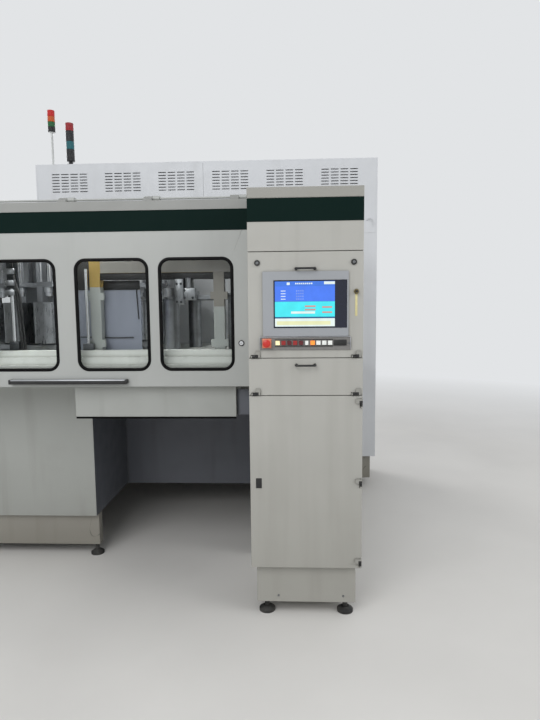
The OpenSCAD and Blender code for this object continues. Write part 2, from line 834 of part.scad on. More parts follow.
// A folded door tray from z0 to z1 across the cabinet's width
module door_tray(z0, z1) {
    lip = 18;
    s = door_sheet;
    difference() {
        block([cab_x0, door_y, z0], [cab_x1, door_y + door_t, z1]);
        block([cab_x0 + s, door_y + s, z0 + s], [cab_x1 - s, door_y + door_t - s, z1 - s]);
        block([cab_x0 + lip, door_y + s, z0 + lip], [cab_x1 - lip, door_y + door_t + eps, z1 - lip]);
    }
}

module screen_door() {
    z0 = keyboard_top + seam / 2;
    color("whitesmoke") {
        difference() {
            door_tray(z0, screen_door_top);
            for (x = bottom_hinge_xs) at_bottom_hinge(x, z0) hinge_notch();
            block([screen_x0 + 8, door_y - eps, screen_z0 + 8],
                [screen_x0 + screen_w - 8, door_y + door_t + eps, screen_z0 + screen_h - 8]);
            block([key_x0 - 14, door_y - eps, key_z - 10],
                [key_x0 + 9 * key_pitch + 14, door_y + door_t, key_z + 10]);
            bar_y(stop_x, door_y - eps, door_y + door_t, stop_z, stem_r + 3);
            bar_y(key_switch_at[0], door_y - eps, door_y + door_t, key_switch_at[1], 9 + fit);
            for (s = [-1, 1])
                bar_y(cab_cx + s * lock_x, door_y - eps, door_y + door_t + eps, lock_z, 9 + fit);
        }
        for (x = bottom_hinge_xs) at_bottom_hinge(x, z0) hinge_lug();
    }
}

module screen_surround() {
    color("gainsboro") difference() {
        block([bezel_x0, door_y - bezel_t, bezel_z], [bezel_x0 + bezel_w, door_y, bezel_z + bezel_h]);
        block([screen_x0, door_y - bezel_t - eps, screen_z0],
            [screen_x0 + screen_w, door_y + eps, screen_z0 + screen_h]);
    }
}

module screen_glass() {
    color("steelblue") {
        block([screen_x0 + seat, door_y - bezel_t + 4, screen_z0 + seat],
            [screen_x0 + screen_w - seat, door_y, screen_z0 + screen_h - seat]);
        block([screen_x0 + 10, door_y, screen_z0 + 10],
            [screen_x0 + screen_w - 10, door_y + 70, screen_z0 + screen_h - 10]);
    }
}

module key_strip() {
    color("gray") difference() {
        block([strip_x0, door_y - strip_t, strip_z], [strip_x0 + strip_w, door_y, strip_z + strip_h]);
        for (i = [0:9])
            block([key_x0 + i * key_pitch - key_hole, door_y - strip_t - eps, key_z - key_hole],
                [key_x0 + i * key_pitch + key_hole, door_y + eps, key_z + key_hole]);
        bar_y(stop_x, door_y - strip_t - eps, door_y + eps, stop_z, stem_r + fit);
    }
    color("black")
        block([cab_cx + 141, door_y - strip_t - 5, key_z - 11],
            [cab_cx + 205, door_y - strip_t, key_z + 11]);
}

module key_cap(i, tint) {
    x = key_x0 + (i - 1) * key_pitch;
    w = i == 6 ? key_side - 6 : key_side;
    front = door_y - strip_t - key_travel - seat - 5;
    color(tint) {
        block([x - w / 2, front, key_z - key_side / 2], [x + w / 2, front + 5, key_z + key_side / 2]);
        block([x - key_hole + 0.2, front + 5, key_z - key_hole + 0.2],
            [x + key_hole - 0.2, door_y + 16, key_z + key_hole - 0.2]);
    }
}

module key_1() { key_cap(1, "ivory"); }
module key_2() { key_cap(2, "firebrick"); }
module key_3() { key_cap(3, "maroon"); }
module key_4() { key_cap(4, "firebrick"); }
module key_5() { key_cap(5, "maroon"); }
module key_6() { key_cap(6, "white"); }
module key_7() { key_cap(7, "orange"); }
module key_8() { key_cap(8, "white"); }
module key_9() { key_cap(9, "gainsboro"); }
module key_10() { key_cap(10, "gainsboro"); }

module stop_button() {
    color("red") {
        translate([stop_x, door_y, stop_z]) rotate([90, 0, 0]) rotate_extrude()
            polygon([[0, -14], [stem_r, -14], [stem_r, stop_out - 22], [stop_r - 5, stop_out - 18],
                [stop_r, stop_out - 13], [stop_r, stop_out - 8], [stop_r - 6, stop_out - 2],
                [stop_r - 13, stop_out], [0, stop_out]]);
    }
}

module key_switch() {
    x = key_switch_at[0];
    z = key_switch_at[1];
    color("goldenrod") {
        bar_y(x, door_y - 8, door_y - seat, z, 13);
        bar_y(x, door_y - 4, door_y + door_t - 6, z, 9);
        block([x - 2, door_y - 26, z - 12], [x + 2, door_y - 8, z + 12]);
    }
}

// A quarter-turn lock. The cam points inwards when open and up when locked.
module quarter_lock(s) {
    x = cab_cx + s * lock_x;
    back = door_y + door_t + door_gap + cabinet_wall + 4;
    color("black") {
        bar_y(x, door_y - 6, door_y - seat, lock_z, 15);
        bar_y(x, door_y - 1, back, lock_z, 9);
        block([min(x, x - s * 66) - (s < 0 ? 9 : 0), back, lock_z - 9],
            [max(x, x - s * 66) + (s > 0 ? 9 : 0), back + 4, lock_z + 9]);
    }
}

module screen_lock_left() { quarter_lock(-1); }
module screen_lock_right() { quarter_lock(1); }

// A bow handle: two feet and a bar with bent corners
module bow_handle(z) {
    r = 6;
    bend = 14;
    x0 = cab_cx - bow_w / 2 + r;
    x1 = cab_cx + bow_w / 2 - r;
    y1 = door_y - bow_out + r;
    color("black") {
        for (x = [x0, x1]) {
            bar_y(x, y1 + bend, door_y, z, r);
            bar_y(x, door_y - 4, door_y, z, r + 4);
        }
        translate([x0 + bend, y1 + bend, z]) rotate([0, 0, 180]) rotate_extrude(angle = 90)
            translate([bend, 0]) circle(r);
        translate([x1 - bend, y1 + bend, z]) rotate([0, 0, 270]) rotate_extrude(angle = 90)
            translate([bend, 0]) circle(r);
        translate([x0 + bend, y1, z]) rotate([0, 90, 0]) cylinder(h = x1 - x0 - 2 * bend, r = r);
    }
}

module screen_door_handle() { bow_handle(screen_handle_z); }
module keyboard_flap_handle() { bow_handle(keyboard_top - 37); }

module keyboard_flap() {
    z0 = lower_door_top + seam / 2;
    color("whitesmoke") {
        difference() {
            door_tray(z0, keyboard_top - seam / 2);
            for (x = bottom_hinge_xs) at_bottom_hinge(x, z0) hinge_notch();
        }
        for (x = bottom_hinge_xs) at_bottom_hinge(x, z0) hinge_lug();
    }
}

// Keyboard that lies on the inside of its flap, with its keys facing into the cabinet
module keyboard() {
    y0 = door_y + door_sheet;
    w = 430;
    z0 = lower_door_top + 30;
    z1 = keyboard_top - 50;
    col = 28.6;
    row = (z1 - z0 - 15) / 5;
    color("darkgray") {
        block([cab_cx - w / 2, y0, z0], [cab_cx + w / 2, y0 + 30, z1]);
        for (r = [0:4]) for (c = [0:13])
            block([cab_cx - w / 2 + 16 + c * col, y0 + 30, z0 + 10 + r * row],
                [cab_cx - w / 2 + 12 + (c + 1) * col, y0 + 36, z0 + 6 + (r + 1) * row]);
    }
}

// The latch's pocket, and the hole of its pin
module latch_pocket() {
    block([latch_x - latch_w / 2 - 0.5, door_y - eps, latch_z - 28],
        [latch_x + latch_w / 2 + 0.5, door_y + 12, latch_z + 28]);
    translate([latch_x - 18, door_y + 4, latch_pin_z]) rotate([0, 90, 0])
        cylinder(h = 36, r = 2 + fit);
}

module lower_door() {
    color("whitesmoke") {
        difference() {
            door_tray(plinth_h, lower_door_top - seam / 2);
            for (z = side_hinge_zs) at_side_hinge(z) hinge_notch();
            latch_pocket();
        }
        for (z = side_hinge_zs) at_side_hinge(z) hinge_lug();
        difference() {
            block([latch_x - 19, door_y + door_sheet - eps, latch_z - 31],
                [latch_x + 19, door_y + 15, latch_z + 31]);
            latch_pocket();
        }
    }
}

// A paddle that lifts about a pin at its upper edge
module lower_door_latch() {
    color("black") {
        block([latch_x - latch_w / 2, door_y - 1, latch_z - 26],
            [latch_x + latch_w / 2, door_y + 3, latch_pin_z]);
        translate([latch_x, door_y + 4, latch_pin_z]) rotate([0, 90, 0]) {
            cylinder(h = latch_w, r = 4, center = true);
            cylinder(h = latch_w + 4, r = 2, center = true);
        }
    }
}

// Blow wheel
function inv(a) = tan(a) * 180 / PI - a;
function half_at(r, z, m) = let (rb = m * z / 2 * cos(20))
    90 / z - 0.1 * 360 / (PI * m * z) * 2 + inv(20) - (r > rb ? inv(acos(rb / r)) : 0);
function gear_points(z, m, steps) = let (r0 = m * z / 2 - 1.25 * m, r1 = m * z / 2 + 0.95 * m)
    [for (i = [0:z - 1]) for (side = [-1, 1]) for (k = [0:steps])
        let (r = side < 0 ? r0 + (r1 - r0) * k / steps : r1 - (r1 - r0) * k / steps,
            a = 360 * i / z + side * half_at(r, z, m))
        [r * cos(a), r * sin(a)]];

module at_station(a) {
    translate([wheel_x, wheel_y, 0]) rotate([0, 0, a]) children();
}

module each_station(skip_work = false) {
    for (i = [0:stations - 1])
        if (!skip_work || abs(first_angle - i * station_step - work_angle) > 1)
            at_station(first_angle - i * station_step) children();
}

module wheel_pedestal() {
    color("dimgray") translate([wheel_x, wheel_y, bed_top]) {
        cylinder(h = 20, r = pedestal_r + 60);
        cylinder(h = plate_z - bed_top - seat, r = pedestal_r);
        cylinder(h = plate_z - bed_top + hub_h - 40, r = spindle_r);
    }
}

module blow_wheel() {
    bore_h = plate_z - gear_z + hub_h - 35;
    hub_z = plate_z + plate_t + seat;
    color("silver") translate([wheel_x, wheel_y, 0]) difference() {
        union() {
            translate([0, 0, plate_z]) cylinder(h = plate_t, r = plate_r, $fn = 96);
            translate([0, 0, hub_z]) cylinder(h = plate_z + hub_h - hub_z, r = hub_r);
            translate([0, 0, plate_z + hub_h]) cylinder(h = mast_h, r = mast_r);
            translate([0, 0, plate_z + hub_h + mast_h]) cylinder(h = 50, r = mast_r + 35);
            translate([0, 0, gear_z]) rotate([0, 0, pinion_angle]) linear_extrude(plate_t + eps)
                polygon(gear_points(ring_teeth, gear_m, 2));
        }
        translate([0, 0, gear_z - eps]) cylinder(h = plate_t + eps, r = ring_r - 60, $fn = 96);
        translate([0, 0, gear_z]) cylinder(h = bore_h, r = spindle_r + fit);
        for (i = [0:8]) rotate([0, 0, i * 40])
            translate([hub_r + 2 * lighten_r, 0, plate_z - eps])
                cylinder(h = plate_t + 2 * eps, r = lighten_r);
    }
}

module station_frames() {
    foot_r = plate_r - 8;
    foot_t = 12;
    ear_h = 28;
    color("lightsteelblue") {
        each_station() difference() {
            rotate([90, 0, 0]) linear_extrude(station_w, center = true)
                polygon([[column_r0, frame_z], [foot_r, frame_z], [foot_r, frame_z + foot_t],
                    [column_r1, frame_z + foot_t], [column_r1, arm_z], [pitch_r + arm_out, arm_z],
                    [pitch_r + arm_out, arm_top], [column_r1, arm_top], [column_r1, column_top],
                    [column_r0, column_top]]);
            translate([pitch_r, 0, arm_z - eps]) cylinder(h = arm_t + 2 * eps, r = rod_r + fit);
        }
        at_station(work_angle) {
            for (z = [mould_z + 2, mould_top - ear_h - 2])
                block([column_r1 - eps, -14, z], [mould_pin, 14, z + ear_h]);
            translate([mould_pin, 0, mould_z + 2]) cylinder(h = mould_h - 4, r = mould_pin_r);
        }
    }
}

// Ring that ties the columns together at their tops
module tie_ring() {
    color("lightsteelblue") translate([wheel_x, wheel_y, column_top + seat]) difference() {
        cylinder(h = ring_t, r = column_r1 + 25, $fn = 96);
        translate([0, 0, -eps]) cylinder(h = ring_t + 2 * eps, r = column_r0, $fn = 96);
    }
}

// Nozzle, guide rods and drive of a stretch unit
module stretch_base() {
    tip_h = 24;
    translate([pitch_r, 0, nozzle_z]) cylinder(h = tip_h, r = 22);
    translate([pitch_r, 0, nozzle_z + tip_h]) cylinder(h = nozzle_h - tip_h, r = 30);
    for (s = [-1, 1])
        translate([guide_at[0], s * guide_at[1], arm_top])
            cylinder(h = column_top - arm_top + 10, r = guide_r);
    block([column_r1, -20, arm_top], [column_r1 + 40, 20, column_top]);
}

// Crosshead and stretch rod, which run down the guides together
module stretch_head() {
    half = guide_side + 14;
    rod_z = nozzle_z + 5;
    difference() {
        block([column_r1 + 40 + seat, -half, head_z], [guide_at[0] + 20, half, head_z + head_t]);
        for (s = [-1, 1])
            translate([guide_at[0], s * guide_at[1], head_z - eps])
                cylinder(h = head_t + 2 * eps, r = guide_r + fit);
    }
    translate([pitch_r, 0, rod_z]) cylinder(h = head_z - seat - rod_z, r = rod_r);
    translate([pitch_r, 0, head_z + head_t - eps]) cylinder(h = 12, r = 2 * rod_r);
}

module stretch_units() {
    color("gray") each_station() difference() {
        stretch_base();
        translate([pitch_r, 0, nozzle_z - eps]) cylinder(h = nozzle_h + 2 * eps, r = rod_r + fit);
    }
    color("white") each_station(skip_work = true) stretch_head();
}

module mould_outline(side) {
    intersection() {
        translate([mould_r0 + mould_d / 2, 0]) round_rect(mould_d, 2 * mould_w, 22);
        translate([mould_r0 - eps, side > 0 ? seat : -mould_w - eps])
            square([mould_d + 2 * eps, mould_w + eps - (side > 0 ? 0 : seat)]);
    }
}

module mould_blocks() {
    color("lightgray") each_station(skip_work = true) {
        for (s = [-1, 1])
            translate([0, 0, mould_z]) linear_extrude(mould_h) mould_outline(s);
        block([column_r1, -40, mould_z + 40], [mould_r0, 40, mould_top - 40]);
    }
}

// One half of the opening mould, with its half of the bottle's cavity
module mould_half(side) {
    lug_h = 60;
    lug_r = mould_pin_r + 6;
    lug_z = side > 0 ? mould_z + 31 : mould_top - lug_h - 31;
    floor_z = mould_z + 12;
    neck_r = 15;
    at_station(work_angle) difference() {
        union() {
            translate([0, 0, mould_z]) linear_extrude(mould_h) mould_outline(side);
            translate([mould_pin, 0, lug_z]) cylinder(h = lug_h, r = lug_r);
            block([mould_pin, side > 0 ? 0 : -lug_r, lug_z],
                [mould_r0 + 5, side > 0 ? lug_r : 0, lug_z + lug_h]);
        }
        translate([mould_pin, 0, lug_z - eps]) cylinder(h = lug_h + 2 * eps, r = mould_pin_r + fit);
        translate([pitch_r, 0, floor_z]) rotate_extrude()
            polygon([[0, 0], [bottle_r - 8, 0], [bottle_r, 8], [bottle_r, 60], [bottle_r - 3, 66],
                [bottle_r - 3, 110], [bottle_r, 116], [bottle_r, 180], [bottle_r - 12, 220],
                [neck_r, 235], [neck_r, mould_h], [0, mould_h]]);
    }
}

module mould_half_left() { color("lightgray") mould_half(1); }
module mould_half_right() { color("lightgray") mould_half(-1); }

module stretch_rod() { color("white") at_station(work_angle) stretch_head(); }

// Star wheels. A gripper's two fingers end on the pitch circle of the necks.
module star(at, turn) {
    arm_r = star_r - 50;
    half = gripper_w / 2;
    color("silver") translate([at[0], at[1], 0]) {
        translate([0, 0, bed_z + 3]) cylinder(h = bed_t, r = star_shaft_r);
        translate([0, 0, bed_top + seat])
            cylinder(h = grip_z - bed_top - star_disc_t / 2, r = star_column_r);
        translate([0, 0, grip_z - star_disc_t / 2]) cylinder(h = star_disc_t, r = star_disc_r);
        for (i = [0:grippers - 1]) rotate([0, 0, turn + i * 360 / grippers]) {
            block([star_disc_r - 25, -half, grip_z - 8], [arm_r, half, grip_z + 4]);
            for (s = [-1, 1]) translate([arm_r, 0, grip_z - 6]) linear_extrude(8)
                polygon([[-10, s * 2], [-10, s * (half + 4)], [35, s * (half + 14)],
                    [58, s * (half + 10)], [58, s * (half + 5)], [38, s * (half + 3)], [12, s * 4]]);
        }
        translate([0, 0, grip_z + star_disc_t / 2]) cylinder(h = 60, r = star_shaft_r);
    }
}

module infeed_star() { star(in_star, star_angle + 180); }
module outfeed_star() { star(out_star, 180 - star_angle); }

module drive_pinion() {
    color("dimgray") translate([pinion_at[0], pinion_at[1], 0]) {
        translate([0, 0, bed_z + 3]) cylinder(h = gear_z - bed_z, r = pinion_shaft_r);
        translate([0, 0, bed_top + seat]) cylinder(h = gear_up - seat, r = pinion_shaft_r + 20);
        translate([0, 0, gear_z - 2]) rotate([0, 0, pinion_angle + 180 + 180 / pinion_teeth])
            linear_extrude(plate_t) polygon(gear_points(pinion_teeth, gear_m, 4));
    }
}

// Fixed structure beside the wheel
module inner_columns() {
    ear_w = 20;
    ear_h = 46;
    half = pillar_w / 2;
    y1 = pillar_y0 + pillar_d;
    color("ivory") {
        for (x = pillar_xs) {
            block([x - half, pillar_y0, bed_top], [x + half, y1, beam_z]);
            for (z = [bed_top + 100, bed_top + 390])
                block([x - half - ear_w, pillar_y0, z], [x + half + ear_w, pillar_y0 + 20, z + ear_h]);
        }
        block([pillar_xs[0] - half, pillar_y0, beam_z], [inner_x1 - post, y1, beam_z + beam_h]);
    }
}

module partition_panel() {
    y = pillar_y0 + pillar_d + 3;
    color("lightsteelblue") {
        block([partition_x[0], y, bed_top], [partition_x[1], y + 5, bed_top + partition_h]);
        block([partition_x[0], y - 3, bed_top + 150], [partition_x[1], y, bed_top + 162]);
    }
}

// Neck guide that carries the bottles out to the right
module outlet_rail() {
    x0 = out_star[0] + 202;
    x1 = chamber_x1 + 60;
    z1 = grip_z + neck_h / 2;
    reach = 60;
    leg_w = 30;
    color("silver") {
        for (y = [rail_y + neck_gap, rail_y - neck_gap - neck_bar])
            block([x0, y, z1 - neck_h], [x1, y + neck_bar, z1]);
        for (x = [x0 + 220, x0 + 520, x0 + 820]) {
            block([x, rail_y - reach, z1], [x + leg_w, rail_y + reach, z1 + 10]);
            block([x, rail_y + reach - 20, bed_top], [x + leg_w, rail_y + reach, z1]);
        }
    }
}

base_frame();
base_panels();
levelling_feet();
bed_plate();
enclosure_frame();
enclosure_walls();
side_rubbers();
side_panes();
flap_hinge_rail();
reject_hood();
rear_casing();
signal_towers();
flap_panel();
flap_band();
window_rubbers();
window_panes();
flap_grip();
flap_lock();
cabinet_shell();
cabinet_band();
cabinet_hinges();
screen_door();
screen_surround();
screen_glass();
key_strip();
screen_door_handle();
screen_lock_left();
screen_lock_right();
key_switch();
stop_button();
key_1();
key_2();
key_3();
key_4();
key_5();
key_6();
key_7();
key_8();
key_9();
key_10();
keyboard_flap();
keyboard();
keyboard_flap_handle();
lower_door();
lower_door_latch();
wheel_pedestal();
blow_wheel();
station_frames();
tie_ring();
stretch_units();
mould_blocks();
mould_half_left();
mould_half_right();
stretch_rod();
infeed_star();
outfeed_star();
drive_pinion();
inner_columns();
partition_panel();
outlet_rail();
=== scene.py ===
"""Looks of the rotary blow moulding machine: finishes for its CAD nodes and the details that they lack.

Metres, in the row frame: +X to the viewer's right, +Z up, and the viewer stands on the -Y side.
"""

import json
import math

import bmesh
import bpy
from mathutils import Matrix, Vector


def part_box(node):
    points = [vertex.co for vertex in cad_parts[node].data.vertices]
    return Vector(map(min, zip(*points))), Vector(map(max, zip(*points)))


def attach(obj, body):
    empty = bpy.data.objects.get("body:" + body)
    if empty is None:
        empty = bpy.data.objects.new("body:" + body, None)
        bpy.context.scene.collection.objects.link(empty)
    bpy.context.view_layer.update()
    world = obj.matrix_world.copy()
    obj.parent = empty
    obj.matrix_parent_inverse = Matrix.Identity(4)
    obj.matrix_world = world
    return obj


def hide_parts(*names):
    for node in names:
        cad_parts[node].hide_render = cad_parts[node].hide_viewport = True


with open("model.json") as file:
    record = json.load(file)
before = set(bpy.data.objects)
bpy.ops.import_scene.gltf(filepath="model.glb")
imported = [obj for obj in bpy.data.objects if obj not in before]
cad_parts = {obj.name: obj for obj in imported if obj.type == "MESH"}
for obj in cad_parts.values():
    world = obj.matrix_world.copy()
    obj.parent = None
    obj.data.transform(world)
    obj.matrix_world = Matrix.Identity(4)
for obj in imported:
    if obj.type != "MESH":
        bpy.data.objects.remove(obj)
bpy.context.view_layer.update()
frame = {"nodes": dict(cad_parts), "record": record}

# Camera and lamps


def add_camera():
    """The photograph's own camera, found from the cabinet's edges. Its frame is 540 x 720 pixels."""
    yaw, pitch, roll = 0.0443, 0.1013, -0.0097
    focal_px, long_px, sensor_mm = 541, 720, 36
    place = Matrix.Translation((0.8367, -4.2306, 1.7261))
    ahead = Vector((-math.sin(yaw) * math.cos(pitch), math.cos(yaw) * math.cos(pitch), -math.sin(pitch)))
    level = Vector((math.cos(yaw), math.sin(yaw), 0))
    upright = level.cross(ahead)
    right = math.cos(roll) * level + math.sin(roll) * upright
    up = -math.sin(roll) * level + math.cos(roll) * upright
    data = bpy.data.cameras.new("camera")
    data.lens = focal_px * sensor_mm / long_px
    data.sensor_width = sensor_mm
    camera = bpy.data.objects.new("camera", data)
    camera.matrix_world = place @ Matrix((right, up, -ahead)).transposed().to_4x4()
    bpy.context.scene.collection.objects.link(camera)
    bpy.context.scene.camera = camera


def add_lamp(name, place, target, size, watts):
    data = bpy.data.lights.new(name, "AREA")
    data.shape = "DISK"
    data.size = size
    data.energy = watts
    lamp = bpy.data.objects.new(name, data)
    lamp.location = place
    lamp.rotation_euler = (Vector(target) - Vector(place)).to_track_quat("-Z", "Y").to_euler()
    bpy.context.scene.collection.objects.link(lamp)


# Materials


def rgb(red, green, blue):
    """A colour read off a picture, 0 to 255, as Blender's linear colour."""

    def linear(value):
        value /= 255
        return value / 12.92 if value <= 0.04045 else ((value + 0.055) / 1.055) ** 2.4

    return (linear(red), linear(green), linear(blue), 1.0)


def shade(colour, factor):
    return tuple(min(c * factor, 1.0) for c in colour[:3]) + (1.0,)


class Look:
    """A node material around one Principled shader, with short calls for what drives it."""

    def __init__(self, name, rough=0.5, metal=0.0, **sockets):
        self.mat = bpy.data.materials.new(name)
        self.mat.use_nodes = True
        self.nodes = self.mat.node_tree.nodes
        self.links = self.mat.node_tree.links
        self.shader = self.nodes["Principled BSDF"]
        self.where = self.nodes.new("ShaderNodeTexCoord").outputs["Object"]
        self.put(self.shader.inputs["Roughness"], rough)
        self.put(self.shader.inputs["Metallic"], metal)
        for key, value in sockets.items():
            self.put(self.shader.inputs[key.replace("_", " ")], value)

    def put(self, socket, value):
        if isinstance(value, bpy.types.NodeSocket):
            self.links.new(value, socket)
        else:
            socket.default_value = value

    def node(self, kind, **inputs):
        node = self.nodes.new("ShaderNode" + kind)
        for key, value in inputs.items():
            self.put(node.inputs[key.replace("_", " ")], value)
        return node

    def math(self, operation, a, b=0.0):
        node = self.nodes.new("ShaderNodeMath")
        node.operation = operation
        self.put(node.inputs[0], a)
        self.put(node.inputs[1], b)
        return node.outputs[0]

    def mix(self, share, a, b):
        node = self.nodes.new("ShaderNodeMix")
        node.data_type = "RGBA"
        self.put(node.inputs[0], share)
        self.put(node.inputs[6], a)
        self.put(node.inputs[7], b)
        return node.outputs[2]

    def band(self, value, low, high, out_low=0.0, out_high=1.0):
        """Value mapped from low..high to out_low..out_high, and held at both ends."""
        node = self.nodes.new("ShaderNodeMapRange")
        for socket, number in zip(node.inputs[:5], (value, low, high, out_low, out_high)):
            self.put(socket, number)
        return node.outputs[0]

    def axis(self, letter):
        return self.node("SeparateXYZ", Vector=self.where).outputs[letter]

    def noise(self, scale, detail=2.0, stretch=None):
        where = self.where
        if stretch:
            where = self.node("Mapping", Vector=where, Scale=stretch).outputs[0]
        return self.node("TexNoise", Vector=where, Scale=scale, Detail=detail).outputs["Fac"]

    def corner_shade(self, reach):
        """The mask for painted shade: 1 in corners and under edges, 0 in the open."""
        hidden = self.node("AmbientOcclusion", Distance=reach).outputs["AO"]
        return self.band(hidden, 0.85, 0.35)

    def bump(self, height, distance, strength=1.0):
        node = self.node("Bump", Height=height, Distance=distance, Strength=strength)
        if self.shader.inputs["Normal"].is_linked:
            self.links.new(self.shader.inputs["Normal"].links[0].from_socket, node.inputs["Normal"])
        self.links.new(node.outputs[0], self.shader.inputs["Normal"])

    def colour(self, value):
        self.put(self.shader.inputs["Base Color"], value)
        return self.mat


def painted(
    name, colour, rough=0.42, dirt_and_corner_shade=0.35, streaks=0.0, foot=None, scuffs=0.0, grain=0.00004, gloss=0.4
):
    """Coated sheet steel: slight clouding, smudged gloss, fine orange peel, dirt patches and painted shade
    in the corners.

    streaks is the share of dirt that runs down it. dirt_and_corner_shade sets both the dirt patches and
    the painted shade in the corners.
    foot = (low, high, share) darkens and warms the paint towards the floor between two heights: partly
    floor dirt, partly painted shade where less light reaches.
    scuffs is the height below which short curved rub marks show.
    """
    look = Look(name, Specular_IOR_Level=gloss)
    cloud = look.band(look.noise(1.6, 3.0), 0.35, 0.65)
    base = look.mix(cloud, shade(colour, 0.955), shade(colour, 1.02))
    # A darker, warmer tone of the paint: for real dirt below, and also for the painted shade in corners
    # and towards the floor
    dirt = shade((colour[0] * 0.62, colour[1] * 0.6, colour[2] * 0.54), 0.8)
    patches = look.band(look.noise(5.0, 5.0), 0.52, 0.78, 0.0, 0.16 * dirt_and_corner_shade)
    base = look.mix(patches, base, dirt)
    if streaks:
        runs = look.band(look.noise(9.0, 4.0, stretch=(1.0, 1.0, 0.07)), 0.55, 0.8, 0.0, streaks)
        base = look.mix(runs, base, dirt)
    # Partly floor dirt, partly painted shade: darker towards the floor
    if foot:
        low, high, share = foot
        fall = look.math("MULTIPLY", look.band(look.axis("Z"), high, low), share)
        base = look.mix(fall, base, dirt)
    if scuffs:
        curves = look.math("ABSOLUTE", look.math("SUBTRACT", look.noise(3.1, 1.0), 0.5))
        spots = look.band(look.noise(7.0, 1.0), 0.58, 0.64)
        near_floor = look.band(look.axis("Z"), scuffs, scuffs * 0.7)
        where = look.math("MULTIPLY", spots, near_floor)
        marks = look.math("MULTIPLY", look.band(curves, 0.006, 0.002), where)
        base = look.mix(look.math("MULTIPLY", marks, 0.55), base, shade(dirt, 0.35))
    # Painted shade: darker in corners and under edges
    base = look.mix(look.math("MULTIPLY", look.corner_shade(0.03), dirt_and_corner_shade), base, shade(dirt, 0.6))
    look.colour(base)
    smudged = look.band(look.noise(11.0, 4.0), 0.3, 0.75, rough - 0.06, rough + 0.1)
    look.put(look.shader.inputs["Roughness"], smudged)
    look.bump(look.noise(430.0), grain)
    return look.mat


def metal(name, colour, rough=0.3, brushed=None, oil=0.0, grain=0.00003):
    """Bare metal: brushed = the coordinate stretch of its grinding marks, oil = share of dark film."""
    look = Look(name, metal=1.0)
    marks = look.noise(90.0, 3.0, stretch=brushed or (1.0, 1.0, 1.0))
    base = look.mix(marks, shade(colour, 0.86), shade(colour, 1.08))
    if oil:
        film = look.band(look.noise(14.0, 5.0), 0.42, 0.72, 0.0, oil)
        base = look.mix(film, base, shade(colour, 0.28))
    # Painted shade: darker in corners and under edges
    base = look.mix(look.math("MULTIPLY", look.corner_shade(0.02), 0.5), base, shade(colour, 0.25))
    look.colour(base)
    look.put(look.shader.inputs["Roughness"], look.band(marks, 0.25, 0.75, rough - 0.07, rough + 0.1))
    look.bump(marks, grain)
    return look.mat


def plastic(name, colour, rough=0.38, grain=0.00005, glow=0.0, dust=0.0, gloss=0.5):
    """Moulded plastic or rubber: fine eroded grain, slight wear in its gloss, and dust if asked."""
    look = Look(name, Specular_IOR_Level=gloss)
    base = look.mix(look.band(look.noise(60.0, 3.0), 0.3, 0.7), shade(colour, 0.9), shade(colour, 1.08))
    if dust:
        grey = look.band(look.noise(17.0, 5.0), 0.4, 0.75, 0.0, dust)
        base = look.mix(grey, base, rgb(120, 118, 112))
    look.colour(base)
    worn = look.band(look.noise(40.0, 4.0), 0.3, 0.7, rough - 0.06, rough + 0.08)
    look.put(look.shader.inputs["Roughness"], worn)
    if glow:
        look.put(look.shader.inputs["Emission Color"], base)
        look.shader.inputs["Emission Strength"].default_value = glow
    look.bump(look.noise(900.0), grain)
    return look.mat


def pane(name, tint, haze=0.05):
    """Flat glass that lets the lamps through: clear straight on, mirror at a slant, faintly wiped."""
    look = Look(name, rough=0.03)
    look.colour(rgb(30, 34, 34))
    clear = look.node("BsdfTransparent", Color=tint).outputs[0]
    wiped = look.band(look.noise(7.0, 4.0, stretch=(1.0, 1.0, 0.35)), 0.4, 0.8, 0.0, haze)
    slant = look.math("POWER", look.node("LayerWeight", Blend=0.5).outputs["Facing"], 5.0)
    gleam = look.math("ADD", look.band(slant, 0.0, 1.0, 0.04, 0.95), wiped)
    share = look.nodes.new("ShaderNodeMixShader")
    look.put(share.inputs[0], gleam)
    look.put(share.inputs[1], clear)
    look.put(share.inputs[2], look.shader.outputs[0])
    look.put(look.nodes["Material Output"].inputs["Surface"], share.outputs[0])
    return look.mat


def glowing(name, colour, strength=1.0):
    """A lit patch of the screen picture, slightly uneven as behind an old panel."""
    look = Look(name, rough=0.14)
    look.colour(rgb(8, 9, 12))
    uneven = look.mix(look.band(look.noise(24.0, 3.0), 0.3, 0.7), shade(colour, 0.9), colour)
    look.put(look.shader.inputs["Emission Color"], uneven)
    look.shader.inputs["Emission Strength"].default_value = strength
    return look.mat


# Colours of the two signal towers from the foot up, each with the height in metres where it starts
LEFT_TOWER = (
    (0.0, rgb(214, 216, 214)),
    (3.36, rgb(22, 22, 24)),
    (3.405, rgb(10, 92, 44)),
    (3.451, rgb(196, 84, 20)),
    (3.5, rgb(196, 22, 20)),
)
RIGHT_TOWER = (
    (0.0, rgb(26, 26, 28)),
    (3.172, rgb(18, 96, 104)),
    (3.243, rgb(24, 24, 28)),
    (3.337, rgb(150, 22, 30)),
)
BETWEEN_TOWERS_X = -1.32


def tower_look(name):
    """Both signal towers: lamp colours by height and by tower, with the ribs of their lenses."""
    look = Look(name, rough=0.25)
    high = look.axis("Z")
    on_left = look.math("LESS_THAN", look.axis("X"), BETWEEN_TOWERS_X)

    def stack(colours):
        shown = colours[0][1]
        for start, colour in colours[1:]:
            shown = look.mix(look.math("GREATER_THAN", high, start), shown, colour)
        return shown

    base = look.mix(on_left, stack(RIGHT_TOWER), stack(LEFT_TOWER))
    base = look.mix(look.band(look.noise(30.0, 4.0), 0.45, 0.8, 0.0, 0.25), base, rgb(90, 90, 90))
    look.colour(base)
    ribs = look.math("SINE", look.math("MULTIPLY", high, 900.0))
    look.bump(ribs, 0.0006)
    return look.mat


PANEL = rgb(171, 173, 170)
DOOR = rgb(172, 171, 165)

